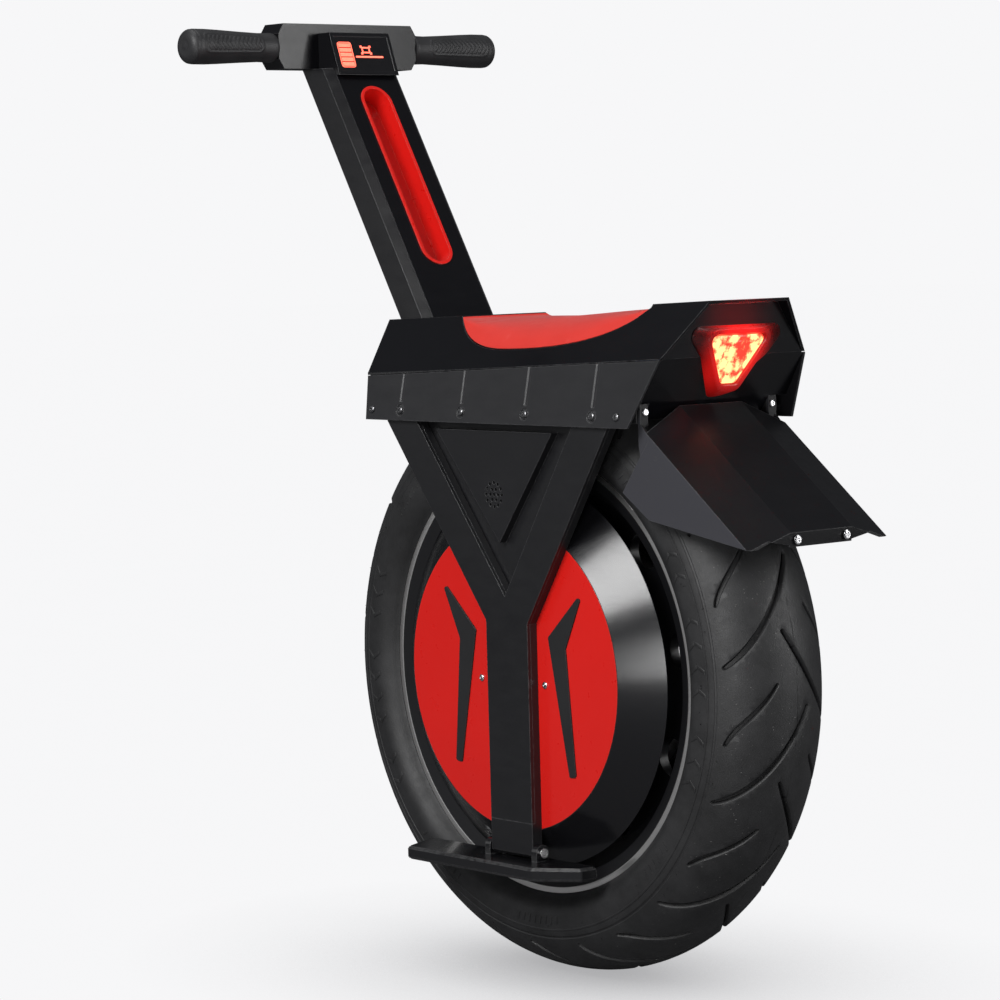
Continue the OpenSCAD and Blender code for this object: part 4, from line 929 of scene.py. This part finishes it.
def on_display(x, y, z):
    """A point of the leaning display face; x is depth, z runs up the face."""
    turn = math.atan(17 / 47.5)
    return (0.332 + (x * math.cos(turn) + z * math.sin(turn)) * MM, y * MM,
            0.637 + (z * math.cos(turn) - x * math.sin(turn)) * MM)


def ring_bar(outer, inner, y0, z0):
    """A flat ring on the display face between two outlines."""
    rows = [(depth, ring) for depth, ring in ((0.75, outer), (0.1, outer), (0.1, inner), (0.75, inner))]
    verts = [on_display(depth, y0 + y, z0 + z) for depth, ring in rows for y, z in ring]
    return verts, grid_faces(4, len(outer), closed_rows=True, closed_columns=True)


def make_display(looks):
    """A lit frame round the gauge's bars and a plain square mark over the lit line."""
    frame_ring = ring_bar(outline(9.6, 15.0, 9.6, -15.0, 3), outline(9.0, 14.4, 9.0, -14.4, 2.4), 25, 24.3)
    mark = ring_bar(outline(5.6, 3.6, 5.6, -3.6, 0.8), outline(4.2, 2.2, 4.2, -2.2, 0.4), -4, 30)
    corner = outline(1.2, 1.2, 1.2, -1.2, 0.3), outline(0.4, 0.4, 0.4, -0.4, 0.1)
    corners = [ring_bar(*corner, -4 + y, 30 + z) for y in (-6.2, 6.2) for z in (-4, 4)]
    verts, faces = join([frame_ring, mark] + corners)
    piece("display_marks", verts, faces, looks["lit_red"], "chassis", 40)


# ---------------------------------------------------------------- camera, light, stage

def make_camera():
    """From behind and the rider's left, a little above the saddle, with a long lens."""
    data = bpy.data.cameras.new("camera")
    data.sensor_width = 36
    data.lens = 125.8
    data.clip_end = 60
    heading, pitch, roll = math.radians(-40.2), math.radians(4.36), math.radians(-1.53)
    flat = math.cos(pitch)
    ahead = Vector((math.cos(heading) * flat, math.sin(heading) * flat, -math.sin(pitch)))
    across = ahead.cross(Vector((0, 0, 1))).normalized()
    up = across.cross(ahead)
    right = math.cos(roll) * across + math.sin(roll) * up
    top = -math.sin(roll) * across + math.cos(roll) * up
    camera = bpy.data.objects.new("camera", data)
    camera.matrix_world = Matrix((right, top, -ahead)).transposed().to_4x4()
    camera.location = (-2.7462, 2.4277, 0.4571)
    bpy.context.scene.collection.objects.link(camera)
    bpy.context.scene.camera = camera


def softbox(name, place, target, size, power, colour=(1, 1, 1)):
    data = bpy.data.lights.new(name, "AREA")
    data.shape = "RECTANGLE"
    data.size, data.size_y = size
    data.energy = power
    data.color = colour
    lamp = bpy.data.objects.new(name, data)
    lamp.location = place
    lamp.rotation_euler = (Vector(target) - Vector(place)).to_track_quat("-Z", "Y").to_euler()
    lamp.visible_camera = False
    bpy.context.scene.collection.objects.link(lamp)


def halo(name, place, target, power, spread):
    """Red light thrown back onto the plate around the tail light."""
    data = bpy.data.lights.new(name, "SPOT")
    data.energy = power
    data.color = (1, 0.01, 0.01)
    data.shadow_soft_size = 0.02
    data.spot_size = math.radians(spread)
    data.spot_blend = 1.0
    lamp = bpy.data.objects.new(name, data)
    lamp.location = place
    lamp.rotation_euler = (Vector(target) - Vector(place)).to_track_quat("-Z", "Y").to_euler()
    bpy.context.scene.collection.objects.link(lamp)


def make_lights():
    softbox("key_left", (-0.75, 2.9, 2.1), (0, 0, 0.15), (1.4, 1.4), 112)
    softbox("fill_rear", (-2.6, -1.6, 1.0), (0, 0, 0.1), (1.2, 2.2), 52)
    softbox("top", (0.5, 0.1, 3.0), (0, 0, 0), (1.6, 2.0), 24)
    softbox("front_left", (2.4, 2.1, 0.9), (0, 0, 0.1), (0.8, 1.6), 3)
    softbox("low_rear_left", (-1.1, 1.35, 0.15), (-0.2, 0.1, 0.2), (0.5, 0.5), 9)
    halo("tail_glow", (-0.335, 0, 0.366), (-0.235, 0, 0.356), 5, 62)


def make_world():
    """A pale backdrop for the camera, and a dimmer room in reflections."""
    world = bpy.data.worlds.new("studio")
    bpy.context.scene.world = world
    world.use_nodes = True
    tree = world.node_tree
    tree.nodes.clear()
    out = tree.nodes.new("ShaderNodeOutputWorld")
    room, seen = tree.nodes.new("ShaderNodeBackground"), tree.nodes.new("ShaderNodeBackground")
    room.inputs[0].default_value, room.inputs[1].default_value = (0.9, 0.93, 1.0, 1), 0.10
    seen.inputs[0].default_value, seen.inputs[1].default_value = (0.93, 0.93, 0.94, 1), 1.0
    pick, ray = tree.nodes.new("ShaderNodeMixShader"), tree.nodes.new("ShaderNodeLightPath")
    tree.links.new(ray.outputs["Is Camera Ray"], pick.inputs[0])
    tree.links.new(room.outputs[0], pick.inputs[1])
    tree.links.new(seen.outputs[0], pick.inputs[2])
    tree.links.new(pick.outputs[0], out.inputs[0])


def make_floor():
    """A pale floor just under the tyre, with a painted contact shadow where the wheel stands on it."""
    size, low = 30, -TYRE_R - 0.0002
    mesh = bpy.data.meshes.new("floor")
    corners = [(-size, -size, low), (size, -size, low), (size, size, low), (-size, size, low)]
    mesh.from_pydata(corners, [], [(0, 1, 2, 3)])
    look = Look("floor_paper")
    shade = look.node("MixShader")
    dim = look.node("BsdfDiffuse")
    dim.inputs[0].default_value = (0.16, 0.16, 0.165, 1)
    # painted shadow: ambient occlusion darkens the floor's emitted colour near the wheel
    painted_shadow_ao = look.node("AmbientOcclusion", samples=8)
    painted_shadow_ao.inputs["Distance"].default_value = 0.35
    painted_shadow_fade = look.range(painted_shadow_ao.outputs["AO"], 0.15, 0.95)
    paper = look.mix(look.noise(6, 3), (0.93, 0.93, 0.94), (0.925, 0.925, 0.935))
    look.set(base_color=(0, 0, 0), specular_ior_level=0.0, roughness=0.9, emission_strength=1.0,
             emission_color=look.mix(painted_shadow_fade, (0.42, 0.42, 0.43), paper))
    look.link(look.node("LightPath").outputs["Is Camera Ray"], shade.inputs[0])
    look.link(dim.outputs[0], shade.inputs[1])
    look.link(look.shader.outputs[0], shade.inputs[2])
    look.link(shade.outputs[0], look.out.inputs["Surface"])
    mesh.materials.append(look.material)
    floor = bpy.data.objects.new("floor", mesh)
    bpy.context.scene.collection.objects.link(floor)


# ---------------------------------------------------------------- build

looks = make_materials()
dress_nodes(looks)
make_tyre(looks)
make_cushion(looks)
make_grips(looks)
make_surround(looks)
make_cut_glass(looks)
make_lamps(looks)
make_display(looks)
make_camera()
make_lights()
make_world()
make_floor()
bpy.context.scene.view_settings.view_transform = "Standard"
